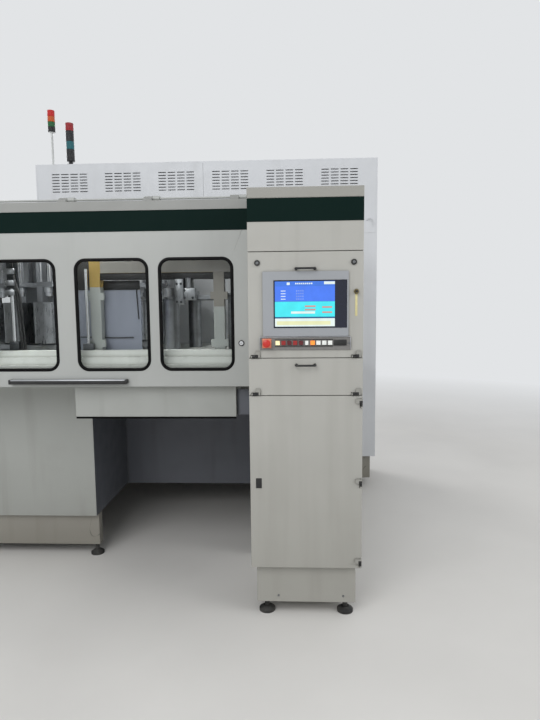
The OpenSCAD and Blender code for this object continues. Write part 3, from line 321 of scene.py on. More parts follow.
# The record's material slots
LOOKS = {
    "panel_grey": painted("panel_grey", PANEL, dirt_and_corner_shade=0.3, streaks=0.12),
    "door_grey": painted("door_grey", DOOR, dirt_and_corner_shade=0.5, streaks=0.2, foot=(0.15, 1.0, 0.3), scuffs=0.4),
    "casing_white": painted("casing_white", rgb(206, 208, 211), dirt_and_corner_shade=0.35, streaks=0.12),
    "dark_green": painted("dark_green", rgb(15, 32, 29), rough=0.55, dirt_and_corner_shade=0.1, gloss=0.04),
    "base_grey": painted("base_grey", rgb(164, 166, 162), dirt_and_corner_shade=0.7, streaks=0.3, foot=(0.1, 1.0, 0.35)),
    "plinth_grey": painted(
        "plinth_grey", rgb(150, 147, 139), dirt_and_corner_shade=0.9, streaks=0.3, foot=(0.02, 0.4, 0.5), scuffs=0.3
    ),
    "cream": painted("cream", rgb(228, 230, 224), rough=0.3, dirt_and_corner_shade=0.6),
    "frame_grey": painted("frame_grey", rgb(108, 111, 114), dirt_and_corner_shade=0.6),
    "lilac_grey": painted("lilac_grey", rgb(150, 155, 168), dirt_and_corner_shade=0.5),
    "steel": metal("steel", rgb(142, 144, 146), rough=0.34, oil=0.45),
    "dark_steel": metal("dark_steel", rgb(74, 76, 78), rough=0.4, oil=0.6),
    "bright_rod": metal("bright_rod", rgb(226, 227, 228), rough=0.12, grain=0.000005),
    "aluminium": metal("aluminium", rgb(150, 152, 154), rough=0.3, brushed=(1.0, 1.0, 0.15), oil=0.35),
    "anodised": metal("anodised", rgb(188, 190, 194), rough=0.32, brushed=(0.1, 1.0, 1.0)),
    "black_rubber": plastic("black_rubber", rgb(12, 12, 13), rough=0.36, dust=0.02, gloss=0.08),
    "black_plastic": plastic("black_plastic", rgb(24, 24, 25), rough=0.4, dust=0.08),
    "window_glass": pane("window_glass", rgb(250, 251, 251)),
    "screen": plastic("screen", rgb(22, 26, 44), rough=0.12, grain=0.0),
    "surround_grey": painted("surround_grey", rgb(153, 156, 160), dirt_and_corner_shade=0.3),
    "strip_grey": plastic("strip_grey", rgb(124, 122, 120), rough=0.42, dust=0.1),
    "feet_black": plastic("feet_black", rgb(22, 22, 22), rough=0.6, dust=0.35),
    "tower": tower_look("tower"),
    "signal_red": plastic("signal_red", rgb(194, 46, 36), rough=0.3),
    "key_cream": plastic("key_cream", rgb(250, 230, 178), rough=0.3, glow=0.35),
    "key_red": plastic("key_red", rgb(150, 36, 34), rough=0.3),
    "key_maroon": plastic("key_maroon", rgb(92, 30, 34), rough=0.3),
    "key_orange": plastic("key_orange", rgb(252, 140, 52), rough=0.3, glow=0.5),
    "key_white": plastic("key_white", rgb(226, 228, 224), rough=0.3, glow=0.1),
    "brass": metal("brass", rgb(140, 128, 96), rough=0.3, oil=0.4),
}

# Further looks, for parts of a piece
EXTRA = {
    # A darker copy of the door paint: painted shade on the raised hinge leaves and the cabinet's cap
    "shaded_door_grey": painted("shaded_door_grey", rgb(150, 149, 143), dirt_and_corner_shade=0.4),
    # A darker copy of the panel paint: painted shade on the flap's cap
    "shaded_panel_grey": painted("shaded_panel_grey", rgb(143, 144, 141), dirt_and_corner_shade=0.3),
    "stop_orange": plastic("stop_orange", rgb(214, 124, 92), rough=0.35),
    "post_grey": painted("post_grey", rgb(176, 180, 176), rough=0.34, dirt_and_corner_shade=0.6),
    "beam_grey": painted("beam_grey", rgb(164, 161, 156), dirt_and_corner_shade=0.5),
    "pipe_grey": painted("pipe_grey", rgb(150, 146, 138), dirt_and_corner_shade=0.5),
    # Dark slate: painted shade in the bay under the flap and in the gap beside the cabinet
    "bay_slate": painted("bay_slate", rgb(96, 99, 106), dirt_and_corner_shade=0.8, streaks=0.3),
    "pillar_yellow": painted("pillar_yellow", rgb(186, 157, 88), rough=0.36, dirt_and_corner_shade=0.5),
    "tag_yellow": plastic("tag_yellow", rgb(206, 197, 146), rough=0.35),
    "lit_bar": glowing("lit_bar", rgb(66, 124, 232)),
    "lit_blue": glowing("lit_blue", rgb(74, 128, 250)),
    "lit_cyan": glowing("lit_cyan", rgb(72, 240, 250)),
    "lit_white": glowing("lit_white", rgb(236, 250, 246)),
    "lit_cream": glowing("lit_cream", rgb(238, 240, 190)),
    "lit_red": glowing("lit_red", rgb(214, 150, 140)),
    "lit_teal": glowing("lit_teal", rgb(24, 92, 140)),
}


def look_of(name):
    return LOOKS.get(name) or EXTRA[name]


# Shapes

MERGE = 0.00001
STEEP = math.radians(40)
TO_VIEWER = (0, -1, 0)


class Span:
    """The box round some CAD nodes: x0 to x1, y0 to y1 and z0 to z1, in metres."""

    def __init__(self, *nodes):
        corners = [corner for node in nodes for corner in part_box(node)]
        self.x0, self.y0, self.z0 = (min(corner[i] for corner in corners) for i in range(3))
        self.x1, self.y1, self.z1 = (max(corner[i] for corner in corners) for i in range(3))


def smooth(bm, degrees=32):
    """Faces shade smoothly, and edges sharper than this stay crisp."""
    for face in bm.faces:
        face.smooth = True
    for edge in bm.edges:
        edge.smooth = edge.is_manifold and edge.calc_face_angle(0) < math.radians(degrees)


def add_piece(bm, name, slots, body, *stands_for):
    """A finished piece: its mesh, its looks, the body it moves with and the CAD nodes it stands for."""
    mesh = bpy.data.meshes.new(name)
    bm.to_mesh(mesh)
    bm.free()
    for slot in slots:
        mesh.materials.append(look_of(slot))
    piece = bpy.data.objects.new(name, mesh)
    bpy.context.scene.collection.objects.link(piece)
    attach(piece, body)
    if stands_for:
        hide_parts(*stands_for)
    return piece


class Shape:
    """Gathers solids in one mesh. paint picks the look of what is added next."""

    def __init__(self, *slots):
        self.bm = bmesh.new()
        self.slots = slots
        self.index = 0

    def paint(self, slot):
        self.index = self.slots.index(slot)

    def added(self, faces):
        for face in faces:
            face.material_index = self.index

    def box(self, low, high, rounding=0.0012):
        """A block between two corners, with rounded edges."""
        low, high = Vector(low), Vector(high)
        known = set(self.bm.faces)
        place = Matrix.Translation((low + high) / 2) @ Matrix.Diagonal((*(high - low), 1.0))
        verts = bmesh.ops.create_cube(self.bm, size=1.0, matrix=place)["verts"]
        if rounding:
            edges = list({edge for vert in verts for edge in vert.link_edges})
            bmesh.ops.bevel(self.bm, geom=edges, offset=rounding, segments=2, profile=0.5, affect="EDGES")
        self.added(face for face in self.bm.faces if face not in known)

    def turned(self, profile, place, axis=(0, 0, 1), steps=24):
        """A solid of revolution: (radius, height) points from one end to the other, about axis."""
        turn = Vector((0, 0, 1)).rotation_difference(Vector(axis)).to_matrix()
        rings = []
        for radius, height in profile:
            angles = [2 * math.pi * i / steps for i in range(steps if radius > 0 else 1)]
            points = [Vector((radius * math.cos(a), radius * math.sin(a), height)) for a in angles]
            rings.append([self.bm.verts.new(Vector(place) + turn @ point) for point in points])
        faces = [self.bm.faces.new(rings[0][::-1])] if len(rings[0]) > 2 else []
        for one, two in zip(rings, rings[1:]):
            for i in range(steps):
                n = (i + 1) % steps
                corners = [one[i % len(one)], one[n % len(one)], two[n % len(two)], two[i % len(two)]]
                faces.append(self.bm.faces.new(list(dict.fromkeys(corners))))
        if len(rings[-1]) > 2:
            faces.append(self.bm.faces.new(rings[-1]))
        self.added(faces)

    def tube(self, points, radius, steps=12):
        """A round bar or pipe along a path, with flat ends."""
        points = [Vector(point) for point in points]
        side = (points[1] - points[0]).orthogonal().normalized()
        rings = []
        for i, point in enumerate(points):
            ahead = (points[min(i + 1, len(points) - 1)] - points[max(i - 1, 0)]).normalized()
            side = (side - ahead * side.dot(ahead)).normalized()
            up = ahead.cross(side)
            angles = [2 * math.pi * k / steps for k in range(steps)]
            ring = [point + radius * (math.cos(a) * side + math.sin(a) * up) for a in angles]
            rings.append([self.bm.verts.new(spot) for spot in ring])
        faces = [self.bm.faces.new(rings[0][::-1]), self.bm.faces.new(rings[-1])]
        for one, two in zip(rings, rings[1:]):
            for k in range(steps):
                n = (k + 1) % steps
                faces.append(self.bm.faces.new((one[k], one[n], two[n], two[k])))
        self.added(faces)

    def screw(self, place, axis, radius=0.005):
        """A socket head screw: a washer, a rounded head and its hollow."""
        r = radius
        rim = [(1.5 * r, 0), (1.5 * r, 0.25 * r), (r, 0.25 * r), (r, 0.8 * r), (0.85 * r, r)]
        self.turned(rim + [(0.52 * r, r), (0.45 * r, 0.5 * r), (0, 0.5 * r)], place, axis, 14)

    def piece(self, name, body, *stands_for):
        bmesh.ops.recalc_face_normals(self.bm, faces=self.bm.faces)
        smooth(self.bm)
        return add_piece(self.bm, name, self.slots, body, *stands_for)


def slot_of(node):
    return next(part["material_slot"] for part in frame["record"]["subparts"] if part["node"] == node)


def body_of(node):
    return next(body for body, nodes in frame["record"]["behaviour"]["bodies"].items() if node in nodes)


def mark_rim(bm, node, behind):
    """Marks the node's outer edges behind this y for the bevel, and its other steep edges as sharp."""
    bmesh.ops.triangulate(bm, faces=bm.faces)
    weight = bm.edges.layers.float.new("bevel_weight_edge")
    box, touch = Span(node), 0.0005
    sides = ((0, box.x0), (0, box.x1), (2, box.z0), (2, box.z1))
    for edge in bm.edges:
        ends = [vert.co for vert in edge.verts]
        on_side = any(all(abs(end[i] - side) < touch for end in ends) for i, side in sides)
        steep = edge.calc_face_angle(0) > STEEP
        rim = steep and on_side and all(end.y > behind for end in ends)
        edge[weight] = float(rim)
        edge.smooth = rim or not steep


def soften(node, width, *others, pick=None, cuts=(), outline=None):
    """A copy of a CAD node with its edges rounded, which stands for it.

    pick(centre, normal) says which of the other looks a face takes: 0 or False for none of them.
    cuts are (axis, value) planes that divide its faces first, where two looks meet.
    outline = y rounds only the node's outer edges behind that y and leaves its holes and fittings sharp.
    """
    bm = bmesh.new()
    bm.from_mesh(frame["nodes"][node].data)
    bmesh.ops.remove_doubles(bm, verts=bm.verts, dist=MERGE)
    for axis, value in cuts:
        across = Vector([float(i == axis) for i in range(3)])
        everything = bm.verts[:] + bm.edges[:] + bm.faces[:]
        bmesh.ops.bisect_plane(bm, geom=everything, plane_co=across * value, plane_no=across)
    for face in bm.faces:
        face.smooth = True
        face.material_index = int(pick(face.calc_center_median(), face.normal)) if pick else 0
    same = math.radians(0.5)
    bmesh.ops.dissolve_limit(bm, angle_limit=same, verts=bm.verts, edges=bm.edges, delimit={"MATERIAL"})
    if outline is not None:
        mark_rim(bm, node, outline)
    piece = add_piece(bm, node + "_soft", [slot_of(node), *others], body_of(node), node)
    bevel = piece.modifiers.new("rounded", "BEVEL")
    bevel.width = width
    bevel.segments = 2
    bevel.limit_method = "ANGLE" if outline is None else "WEIGHT"
    bevel.angle_limit = STEEP
    bevel.use_clamp_overlap = False
    flat = piece.modifiers.new("flat_faces", "WEIGHTED_NORMAL")
    flat.weight = 100
    flat.keep_sharp = True
    return piece


def loose_parts(node):
    """The box of each separate solid in a CAD node, as (lowest, highest) corners."""
    bm = bmesh.new()
    bm.from_mesh(frame["nodes"][node].data)
    bmesh.ops.remove_doubles(bm, verts=bm.verts, dist=MERGE)
    boxes, known = [], set()
    for start in bm.verts:
        if start in known:
            continue
        part, queue = [], [start]
        known.add(start)
        while queue:
            vert = queue.pop()
            part.append(vert.co.copy())
            for edge in vert.link_edges:
                other = edge.other_vert(vert)
                if other not in known:
                    known.add(other)
                    queue.append(other)
        boxes.append([Vector(side(co[i] for co in part) for i in range(3)) for side in (min, max)])
    bm.free()
    return boxes


def dress_nodes():
    """Every CAD node takes the finish of the slot that the record gives it."""
    for part in frame["record"]["subparts"]:
        mesh = frame["nodes"][part["node"]].data
        mesh.materials.clear()
        mesh.materials.append(LOOKS[part["material_slot"]])


def add_softened():
    """The sheet metal and rubber nodes whose edges show."""
    lip_h = 0.0121
    lip_top = Span("reject_hood").z0 + lip_h
    soften("reject_hood", 0.003, "black_rubber", pick=lambda centre, normal: centre.z < lip_top)
    soften("flap_hinge_rail", 0.001, "panel_grey", pick=lambda centre, normal: True)
    for node in ("enclosure_walls", "base_frame"):
        soften(node, 0.003)
    whole_rim = -2.0
    # The caps above the green bands take darker copies of the panel and door paint: painted shade
    caps = (
        ("flap_panel", "flap_band", "shaded_panel_grey", whole_rim),
        ("cabinet_shell", "cabinet_band", "shaded_door_grey", None),
    )
    for node, band, look, outline in caps:
        cap = Span(band).z1 - 0.0005

        def on_cap(centre, normal):
            return centre.z > cap and normal.y < -0.3

        soften(node, 0.003, look, pick=on_cap, cuts=((2, cap),), outline=outline)
    base, hood = Span("base_panels"), Span("reject_hood")
    skin, reach = 0.002, 0.1

    def in_bay(centre, normal):
        return hood.x0 - reach < centre.x < hood.x1 + reach and centre.y > base.y0 + skin

    # Faces in the bay round the reject hood take the dark slate: painted shade for the recess
    soften("base_panels", 0.003, "bay_slate", pick=in_bay)
    for node in ("flap_band", "cabinet_band", "screen_surround", "key_strip"):
        soften(node, 0.0012)
    glass_back = Span("screen_glass").y0 + skin
    soften("screen_glass", 0.001, "frame_grey", pick=lambda centre, normal: centre.y > glass_back)


def add_doors():
    """The three cabinet doors and their hinges. Paint covers a hinge but for one small black block."""
    raised = Span("screen_surround").y1 - 0.0004
    half, thick, slack, lean = 0.0155, 0.018, 0.001, 0.002
    blocks, cuts = [], set()
    for low, high in loose_parts("cabinet_hinges"):
        middle = (low + high) / 2
        if high.x - low.x > high.z - low.z:
            block = (middle.x - half - lean, middle.x + half, low.z - slack, low.z + thick)
            cuts |= {(0, block[0]), (0, block[1]), (2, block[3])}
        else:
            block = (high.x - thick, high.x + slack, middle.z - half, middle.z + half)
            cuts |= {(0, block[0]), (2, block[2]), (2, block[3])}
        blocks.append(block)

    def black(centre):
        return any(x0 < centre.x < x1 and z0 < centre.z < z1 for x0, x1, z0, z1 in blocks)

    def on_door(centre, normal):
        return 0 if centre.y > raised else 1 if black(centre) else 2

    def on_hinge(centre, normal):
        return not black(centre)

    # The painted-over hinge leaves take a darker copy of the door paint: painted shade so they show no
    # lighter than the door
    for node in ("screen_door", "keyboard_flap", "lower_door"):
        soften(node, 0.0025, "black_plastic", "shaded_door_grey", pick=on_door, cuts=sorted(cuts), outline=raised)
    soften("cabinet_hinges", 0.0008, "shaded_door_grey", pick=on_hinge, cuts=sorted(cuts))


def add_rubber_rings(node, through):
    """Round-edged profiles round the window openings.

    through is the axis that the windows look along: 0 for x, 1 for y.
    """
    bm = bmesh.new()
    half_wide, corner_r, squareness = 0.0095, 0.058, 0.6
    corner_steps, section_steps = 8, 16
    along = 1 - through
    corners = ((1, 1), (-1, 1), (-1, -1), (1, -1))

    def eased(value):
        return math.copysign(abs(value) ** squareness, value)

    section = []
    for n in range(section_steps):
        turn = 2 * math.pi * n / section_steps
        section.append((half_wide * eased(math.cos(turn)), eased(math.sin(turn))))

    for low, high in loose_parts(node):
        middle, size = (low + high) / 2, high - low
        core_w = size[along] / 2 - half_wide - corner_r
        core_h = size.z / 2 - half_wide - corner_r
        rings = []
        for k, (sign_w, sign_h) in enumerate(corners):
            for i in range(corner_steps + 1):
                angle = math.pi / 2 * (k + i / corner_steps)
                out_w, out_h = math.cos(angle), math.sin(angle)
                ring = []
                for across, deep in section:
                    spot = middle.copy()
                    spot[along] += sign_w * core_w + (corner_r + across) * out_w
                    spot.z += sign_h * core_h + (corner_r + across) * out_h
                    spot[through] += deep * size[through] / 2
                    ring.append(bm.verts.new(spot))
                rings.append(ring)
        for one, two in zip(rings, rings[1:] + rings[:1]):
            for n in range(section_steps):
                m = (n + 1) % section_steps
                bm.faces.new((one[n], one[m], two[m], two[n]))
    bmesh.ops.recalc_face_normals(bm, faces=bm.faces)
    smooth(bm, 60)
    add_piece(bm, node + "_round", [slot_of(node)], body_of(node), node)


def add_grip():
    """The flap's grip: a bright rail above, a black strip under it, and black end caps."""
    node = Span("flap_grip")
    cap, rail_h, sunk = 0.012, 0.007, 0.002
    grip = Shape("anodised", "black_plastic")
    face = node.y0
    grip.box((node.x0 + cap, face, node.z1 - rail_h), (node.x1 - cap, node.y1, node.z1), 0.003)
    grip.paint("black_plastic")
    for x0, x1 in ((node.x0, node.x0 + cap), (node.x1 - cap, node.x1)):
        grip.box((x0, face, node.z0), (x1, node.y1, node.z1), 0.003)
    grip.box((node.x0 + cap, face + sunk, node.z0), (node.x1 - cap, node.y1, node.z1 - rail_h), 0.001)
    grip.piece("flap_grip_rail", "flap", "flap_grip")


# Details on the control cabinet

# Fields of the screen picture, in shares of its width and height: look, left, bottom, right, top
FIELDS = (
    ("lit_blue", 0.0, 0.555, 1.0, 1.0),
    ("lit_bar", 0.0, 0.89, 1.0, 1.0),
    ("lit_cyan", 0.0, 0.215, 1.0, 0.552),
    ("lit_teal", 0.0, 0.18, 1.0, 0.215),
    ("lit_white", 0.0, 0.0, 1.0, 0.18),
    ("lit_cream", 0.03, 0.035, 0.93, 0.12),
    ("lit_white", 0.82, 0.93, 1.0, 0.99),
    ("lit_white", 0.2, 0.92, 0.25, 0.975),
    ("lit_red", 0.5, 0.355, 0.68, 0.39),
    ("lit_red", 0.5, 0.43, 0.68, 0.465),
    ("lit_white", 0.27, 0.285, 0.67, 0.335),
    ("lit_red", 0.79, 0.41, 0.955, 0.445),
    ("lit_red", 0.79, 0.295, 0.955, 0.33),
)


def add_screen_picture():
    """Plain colour fields and blank dashes, a hair in front of the glass."""
    glass = Span("screen_glass")
    wide, tall = glass.x1 - glass.x0, glass.z1 - glass.z0
    left, base = glass.x0 + 0.018 * wide, glass.z0 + 0.032 * tall
    across, up = 0.817 * wide, 0.944 * tall
    picture = Shape("screen", *sorted({field[0] for field in FIELDS}))
    layer, top_layer = 0.0001, len(FIELDS) + 1

    def field(slot, u0, v0, u1, v1, lift):
        picture.paint(slot)
        low = (left + u0 * across, glass.y0 - lift * layer, base + v0 * up)
        high = (left + u1 * across, glass.y0 - (lift - 1) * layer, base + v1 * up)
        picture.box(low, high, rounding=0)

    for number, (slot, *sides) in enumerate(FIELDS):
        field(slot, *sides, lift=number + 1)
    dashes = [(0.1 + 0.02 * k, 0.018) for k in range(4)] + [(0.36 + 0.035 * k, 0.008) for k in range(4)]
    for row in (0.6, 0.66, 0.72, 0.78):
        for start, length in dashes:
            field("lit_white", start, row, start + length, row + 0.018, lift=top_layer)
    for k in range(9):
        start = 0.34 + 0.033 * k
        field("lit_white", start, 0.935, start + 0.022, 0.965, lift=top_layer)
    picture.piece("screen_picture", "screen_door")


def add_strip_details():
    """The keys' black channel, the strip's screws and the bright edging along three of its sides."""
    strip, first, last = Span("key_strip"), Span("key_1"), Span("key_10")
    face = strip.y0
    gap, blank_gap, blank_end = 0.004, 0.006, 0.022
    proud, sunk = 0.0015, 0.001
    trim = Shape("black_plastic", "steel")
    low = (last.x1 + blank_gap, face - proud, last.z0 - gap)
    trim.box(low, (strip.x1 - blank_end, face + sunk, last.z1 + gap))
    for base in (first.z0 - 2 * gap, first.z1 + gap):
        trim.box((first.x0 - gap, face - proud, base), (last.x1 + gap, face + sunk, base + gap))
    trim.paint("steel")
    middle = (strip.z0 + strip.z1) / 2
    for x in (strip.x0 + 0.007, strip.x1 - 0.009):
        trim.screw((x, face, middle), TO_VIEWER, 0.0035)
    trim.piece("strip_trim", "screen_door")
    edge, edge_proud = 0.0025, 0.0012
    sides = (
        (strip.x0, strip.z1 - edge, strip.x1, strip.z1),
        (strip.x0, strip.z0, strip.x0 + edge, strip.z1 - edge),
        (strip.x1 - edge, strip.z0, strip.x1, strip.z1 - edge),
    )
    edging = Shape("anodised")
    for x0, z0, x1, z1 in sides:
        edging.box((x0, face - edge_proud, z0), (x1, face + sunk, z1), 0.0004)
    edging.piece("strip_edging", "screen_door")


def add_stop_button():
    """The red mushroom head and the square orange plate under it."""
    button, face = Span("stop_button"), Span("key_strip").y0
    x, z = (button.x0 + button.x1) / 2, (button.z0 + button.z1) / 2
    half_w, half_h, thick = 0.024, 0.025, 0.003
    plate = Shape("signal_red", "stop_orange")
    plate.paint("stop_orange")
    plate.box((x - half_w, face - thick, z - half_h), (x + half_w, face, z + half_h), 0.0014)
    plate.piece("stop_plate", "screen_door")
    top, stem_r, under_r, head_r = button.y1 - button.y0, 0.011, 0.0185, 0.0205
    stem = [(stem_r, 0), (stem_r, top - 0.02), (under_r, top - 0.02), (head_r, top - 0.018)]
    dome = [(head_r, top - 0.007), (0.0185, top - 0.003), (0.013, top - 0.0006), (0, top)]
    head = Shape("signal_red")
    head.turned(stem + dome, (x, button.y1, z), TO_VIEWER, 40)
    head.piece("stop_mushroom", "stop_button", "stop_button")


def add_screen_door_locks():
    """The two quarter-turn locks: a steel face with a black slot."""
    inset, r, rise = 0.015, 0.0066, 0.0013
    half_w, half_h = 0.0013, 0.0045
    for node in ("screen_lock_left", "screen_lock_right"):
        lock = Span(node)
        x = lock.x0 + inset if node == "screen_lock_left" else lock.x1 - inset
        z = (lock.z0 + lock.z1) / 2
        face = Shape("steel", "black_plastic")
        face.turned([(r, 0), (r, 0.0008), (0.006, rise), (0, rise)], (x, lock.y0, z), TO_VIEWER)
        face.paint("black_plastic")
        low = (x - half_w, lock.y0 - 0.0018, z - half_h)
        face.box(low, (x + half_w, lock.y0 - 0.001, z + half_h), 0)
        face.piece(node + "_face", node)


def add_key_switch_details():
    """The yellow strip that hangs under the key switch, and the keyhole."""
    switch = Span("key_switch")
    x, z = (switch.x0 + switch.x1) / 2, (switch.z0 + switch.z1) / 2
    door = Span("screen_surround").y1
    half_w, thick, length, gap = 0.006, 0.0012, 0.112, 0.001
    tag = Shape("strip_grey", "tag_yellow")
    tag.paint("tag_yellow")
    low = (x - half_w, door - thick, switch.z0 - gap - length)
    tag.box(low, (x + half_w, door, switch.z0 - gap), 0.0005)
    tag.piece("key_tag", "screen_door")
    r, rise = 0.0062, 0.0004
    keyhole = Shape("black_plastic")
    keyhole.turned([(r, -0.001), (r, rise), (0, rise)], (x, switch.y0, z), TO_VIEWER)
    keyhole.piece("key_switch_hole", "key_switch")


def add_bow_handles():
    """The black bow handles of the screen door and the keyboard flap, each on two round feet."""
    r, bend, steps = 0.0055, 0.009, 6
    foot_r, foot_h, foot_x = 0.008, 0.004, 0.008
    foot = [(foot_r, 0), (foot_r, 0.0025), (0.0065, foot_h), (0, foot_h)]
    turns = [math.pi / 2 * k / steps for k in range(steps + 1)]
    rounds = [(r + bend * (1 - math.cos(a)), r + bend * (1 - math.sin(a))) for a in turns]
    for node in ("screen_door_handle", "keyboard_flap_handle"):
        bow = Span(node)
        z = (bow.z0 + bow.z1) / 2
        path = [(bow.x0 + r, bow.y1, z)]
        path += [(bow.x0 + u, bow.y0 + v, z) for u, v in rounds]
        path += [(bow.x1 - u, bow.y0 + v, z) for u, v in rounds[::-1]]
        path += [(bow.x1 - r, bow.y1, z)]
        handle = Shape("black_plastic")
        handle.tube(path, r)
        for x in (bow.x0 + foot_x, bow.x1 - foot_x):
            handle.turned(foot, (x, bow.y1, z), TO_VIEWER)
        handle.piece(node + "_bow", body_of(node), node)


def add_plinth_screws():
    """The two screws in the cabinet's plinth."""
    cabinet = Span("cabinet_shell")
    middle, height = (cabinet.x0 + cabinet.x1) / 2, 0.137
    screws = Shape("steel")
    for offset in (-0.152, 0.201):
        screws.screw((middle + offset, cabinet.y0, height), TO_VIEWER, 0.0045)
    screws.piece("plinth_screws", "root")


# Details on the flap and beside it


def add_flap_lock_face():
    """The flap's round lock: a dark seat, a bright domed face and a slot for the key."""
    lock = Span("flap_lock")
    above_centre, seat_back = 0.014, 0.004
    x, z = (lock.x0 + lock.x1) / 2, (lock.z0 + lock.z1) / 2 - above_centre
    seat = lock.y0 + seat_back
    dome = [(0.0125, 0.004), (0.0125, 0.0055), (0.011, 0.0072), (0, 0.0082)]
    ring = [(0.0168, 0), (0.0168, 0.0035), (0.0155, 0.0045), (0, 0.0045)]
    half_slot = 0.0065
    face = Shape("bright_rod", "dark_steel", "black_plastic")
    face.turned(dome, (x, seat, z), TO_VIEWER, 32)
    face.paint("dark_steel")
    face.turned(ring, (x, seat, z), TO_VIEWER, 32)
    face.paint("black_plastic")
    low = (x - half_slot, seat - 0.0088, z - 0.0012)
    face.box(low, (x + half_slot, seat - 0.0065, z + 0.0016), 0.0003)
    face.piece("flap_lock_face", "flap_lock")


def add_gap_shade_plate():
    """A dark plate between the reject hood and the cabinet: painted shade for the dark gap there."""
    hood, cabinet, flap = Span("reject_hood"), Span("cabinet_shell"), Span("flap_panel")
    back, thick, lap, gap, below_flap = 0.03, 0.004, 0.02, 0.002, 0.03
    y0, z1 = hood.y0 + back, flap.z0 - below_flap
    cover = Shape("black_rubber", "bay_slate")
    cover.paint("bay_slate")
    cover.box((hood.x1, y0, hood.z0 + lap), (cabinet.x0 - gap, y0 + thick, z1), 0.001)
    cover.piece("gap_shade_plate", "root")


# Details on the oven casing


def add_louvre_hoods():
    """Narrow pressed hoods over the casing's slots, in the source's pattern of groups."""
    casing = Span("rear_casing")
    groups, cols, rows = 6, 4, 7
    slot_l, slot_h, group, row, col = 0.069, 0.0095, 0.494, 0.026, 0.086
    first_x, first_z = casing.x0 + 0.153, casing.z1 - 0.253
    depth, over, covered = 0.004, 0.003, 0.3
    across, down = 8, 4
    bm = bmesh.new()

    def hood(x0, z0):
        grid = []
        for i in range(across + 1):
            u = i / across
            side = (1 - abs(2 * u - 1) ** 4) ** 0.5
            line = []
            for k in range(down + 1):
                v = k / down
                bulge = depth * side * math.sin(v * math.pi / 2)
                x = x0 - over + u * (slot_l + 2 * over)
                top = z0 + slot_h + over
                line.append(bm.verts.new((x, casing.y0 - bulge, top - v * (over + covered * slot_h))))
            grid.append(line)
        for i in range(across):
            for k in range(down):
                bm.faces.new((grid[i][k], grid[i][k + 1], grid[i + 1][k + 1], grid[i + 1][k]))

    for g in range(groups):
        for c in range(cols):
            for r in range(rows):
                hood(first_x + g * group + c * col, first_z + r * row)
    smooth(bm)
    piece = add_piece(bm, "louvre_hoods", ["casing_white"], "root")
    sheet = piece.modifiers.new("sheet", "SOLIDIFY")
    sheet.thickness = 0.001
    sheet.offset = 1


def add_casing_hook():
    """A small wire hook at the casing's right edge."""
    y, sunk, proud, r = Span("rear_casing").y0, 0.001, 0.012, 0.003
    bend = ((1.512, 2.484), (1.522, 2.495), (1.54, 2.496), (1.555, 2.482), (1.561, 2.455), (1.556, 2.428))
    hook = Shape("casing_white")
    hook.tube([(1.505, y + sunk, 2.476), *((x, y - proud, z) for x, z in bend)], r, 10)
    hook.piece("casing_hook", "root")


# Details inside the blow chamber

BEAM_BASE = 1.93


def add_columns():
    """The fixed posts and beam: yellow above the left post's bracket, grey above the right post's."""
    posts = Span("inner_columns")
    middle = (posts.x0 + posts.x1) / 2
    yellow_z, grey_z, beam_x0 = 1.845, 1.72, posts.x0 + 0.09
    looks = ("beam_grey", "pillar_yellow", "pipe_grey", "post_grey")

    def pick(centre, normal):
        if centre.z > BEAM_BASE and centre.x > beam_x0:
            return 1
        if centre.x < middle:
            return 2 if centre.z > yellow_z else 4
        return 3 if centre.z > grey_z else 4

    cuts = ((0, beam_x0), (2, grey_z), (2, yellow_z), (2, BEAM_BASE))
    soften("inner_columns", 0.002, *looks, pick=pick, cuts=cuts)


def add_post_details(inside):
    """Round the left post: a bright rod on its foot, dark plates over the partition, a cable duct."""
    posts, panel = Span("inner_columns"), Span("partition_panel")
    face = posts.y0
    rod_x, rod_y, rod_r = -0.427, face - 0.025, 0.0095
    foot_z, top_z, half_w = 1.5, 1.955, 0.03
    inside.paint("bright_rod")
    inside.tube([(rod_x, rod_y, foot_z), (rod_x, rod_y, top_z)], rod_r, 20)
    inside.paint("frame_grey")
    low = (rod_x - half_w, rod_y - 0.02, Span("bed_plate").z1)
    inside.box(low, (rod_x + half_w, rod_y + 0.024, foot_z), 0.003)
    inside.paint("black_plastic")
    thick, gap = 0.003, 0.001
    duct_x0, duct_z0 = posts.x0 + 0.07, BEAM_BASE - 0.042
    back, base = panel.y0 - thick, panel.z1 + gap
    inside.box((panel.x0, back, base), (posts.x0, panel.y0, posts.z1), 0.001)
    inside.box((duct_x0, back, base), (panel.x1, panel.y0, duct_z0 - gap), 0.001)
    inside.box((duct_x0, face + 0.006, duct_z0), (posts.x1 - 0.005, face + 0.05, BEAM_BASE), 0.002)


def add_transfer_drive(inside):
    """Behind the right window: a bracket under the beam and the block and cap of a transfer drive."""
    face = Span("inner_columns").y0
    proud, sunk, block_x0, block_z1 = 0.004, 0.004, 0.155, 1.835
    inside.paint("aluminium")
    inside.box((0.11, face - proud, 1.735), (0.165, face + 0.07, BEAM_BASE - 0.04), 0.003)
    inside.box((block_x0, face + sunk, 1.76), (0.235, face + 0.06, block_z1), 0.004)
    cap = [(0.03, 0), (0.03, 0.06), (0.024, 0.064), (0, 0.064)]
    inside.turned(cap, (0.195, face + 0.03, block_z1))
    inside.paint("dark_steel")
    on_bracket = ((0.125, 1.75), (0.15, 1.75), (0.125, 1.86), (0.15, 1.86))
    on_block = ((0.17, 1.775), (0.22, 1.775), (0.17, 1.82))
    for x, z in on_bracket + on_block:
        inside.screw((x, face - proud if x < block_x0 else face + sunk, z), TO_VIEWER, 0.005)


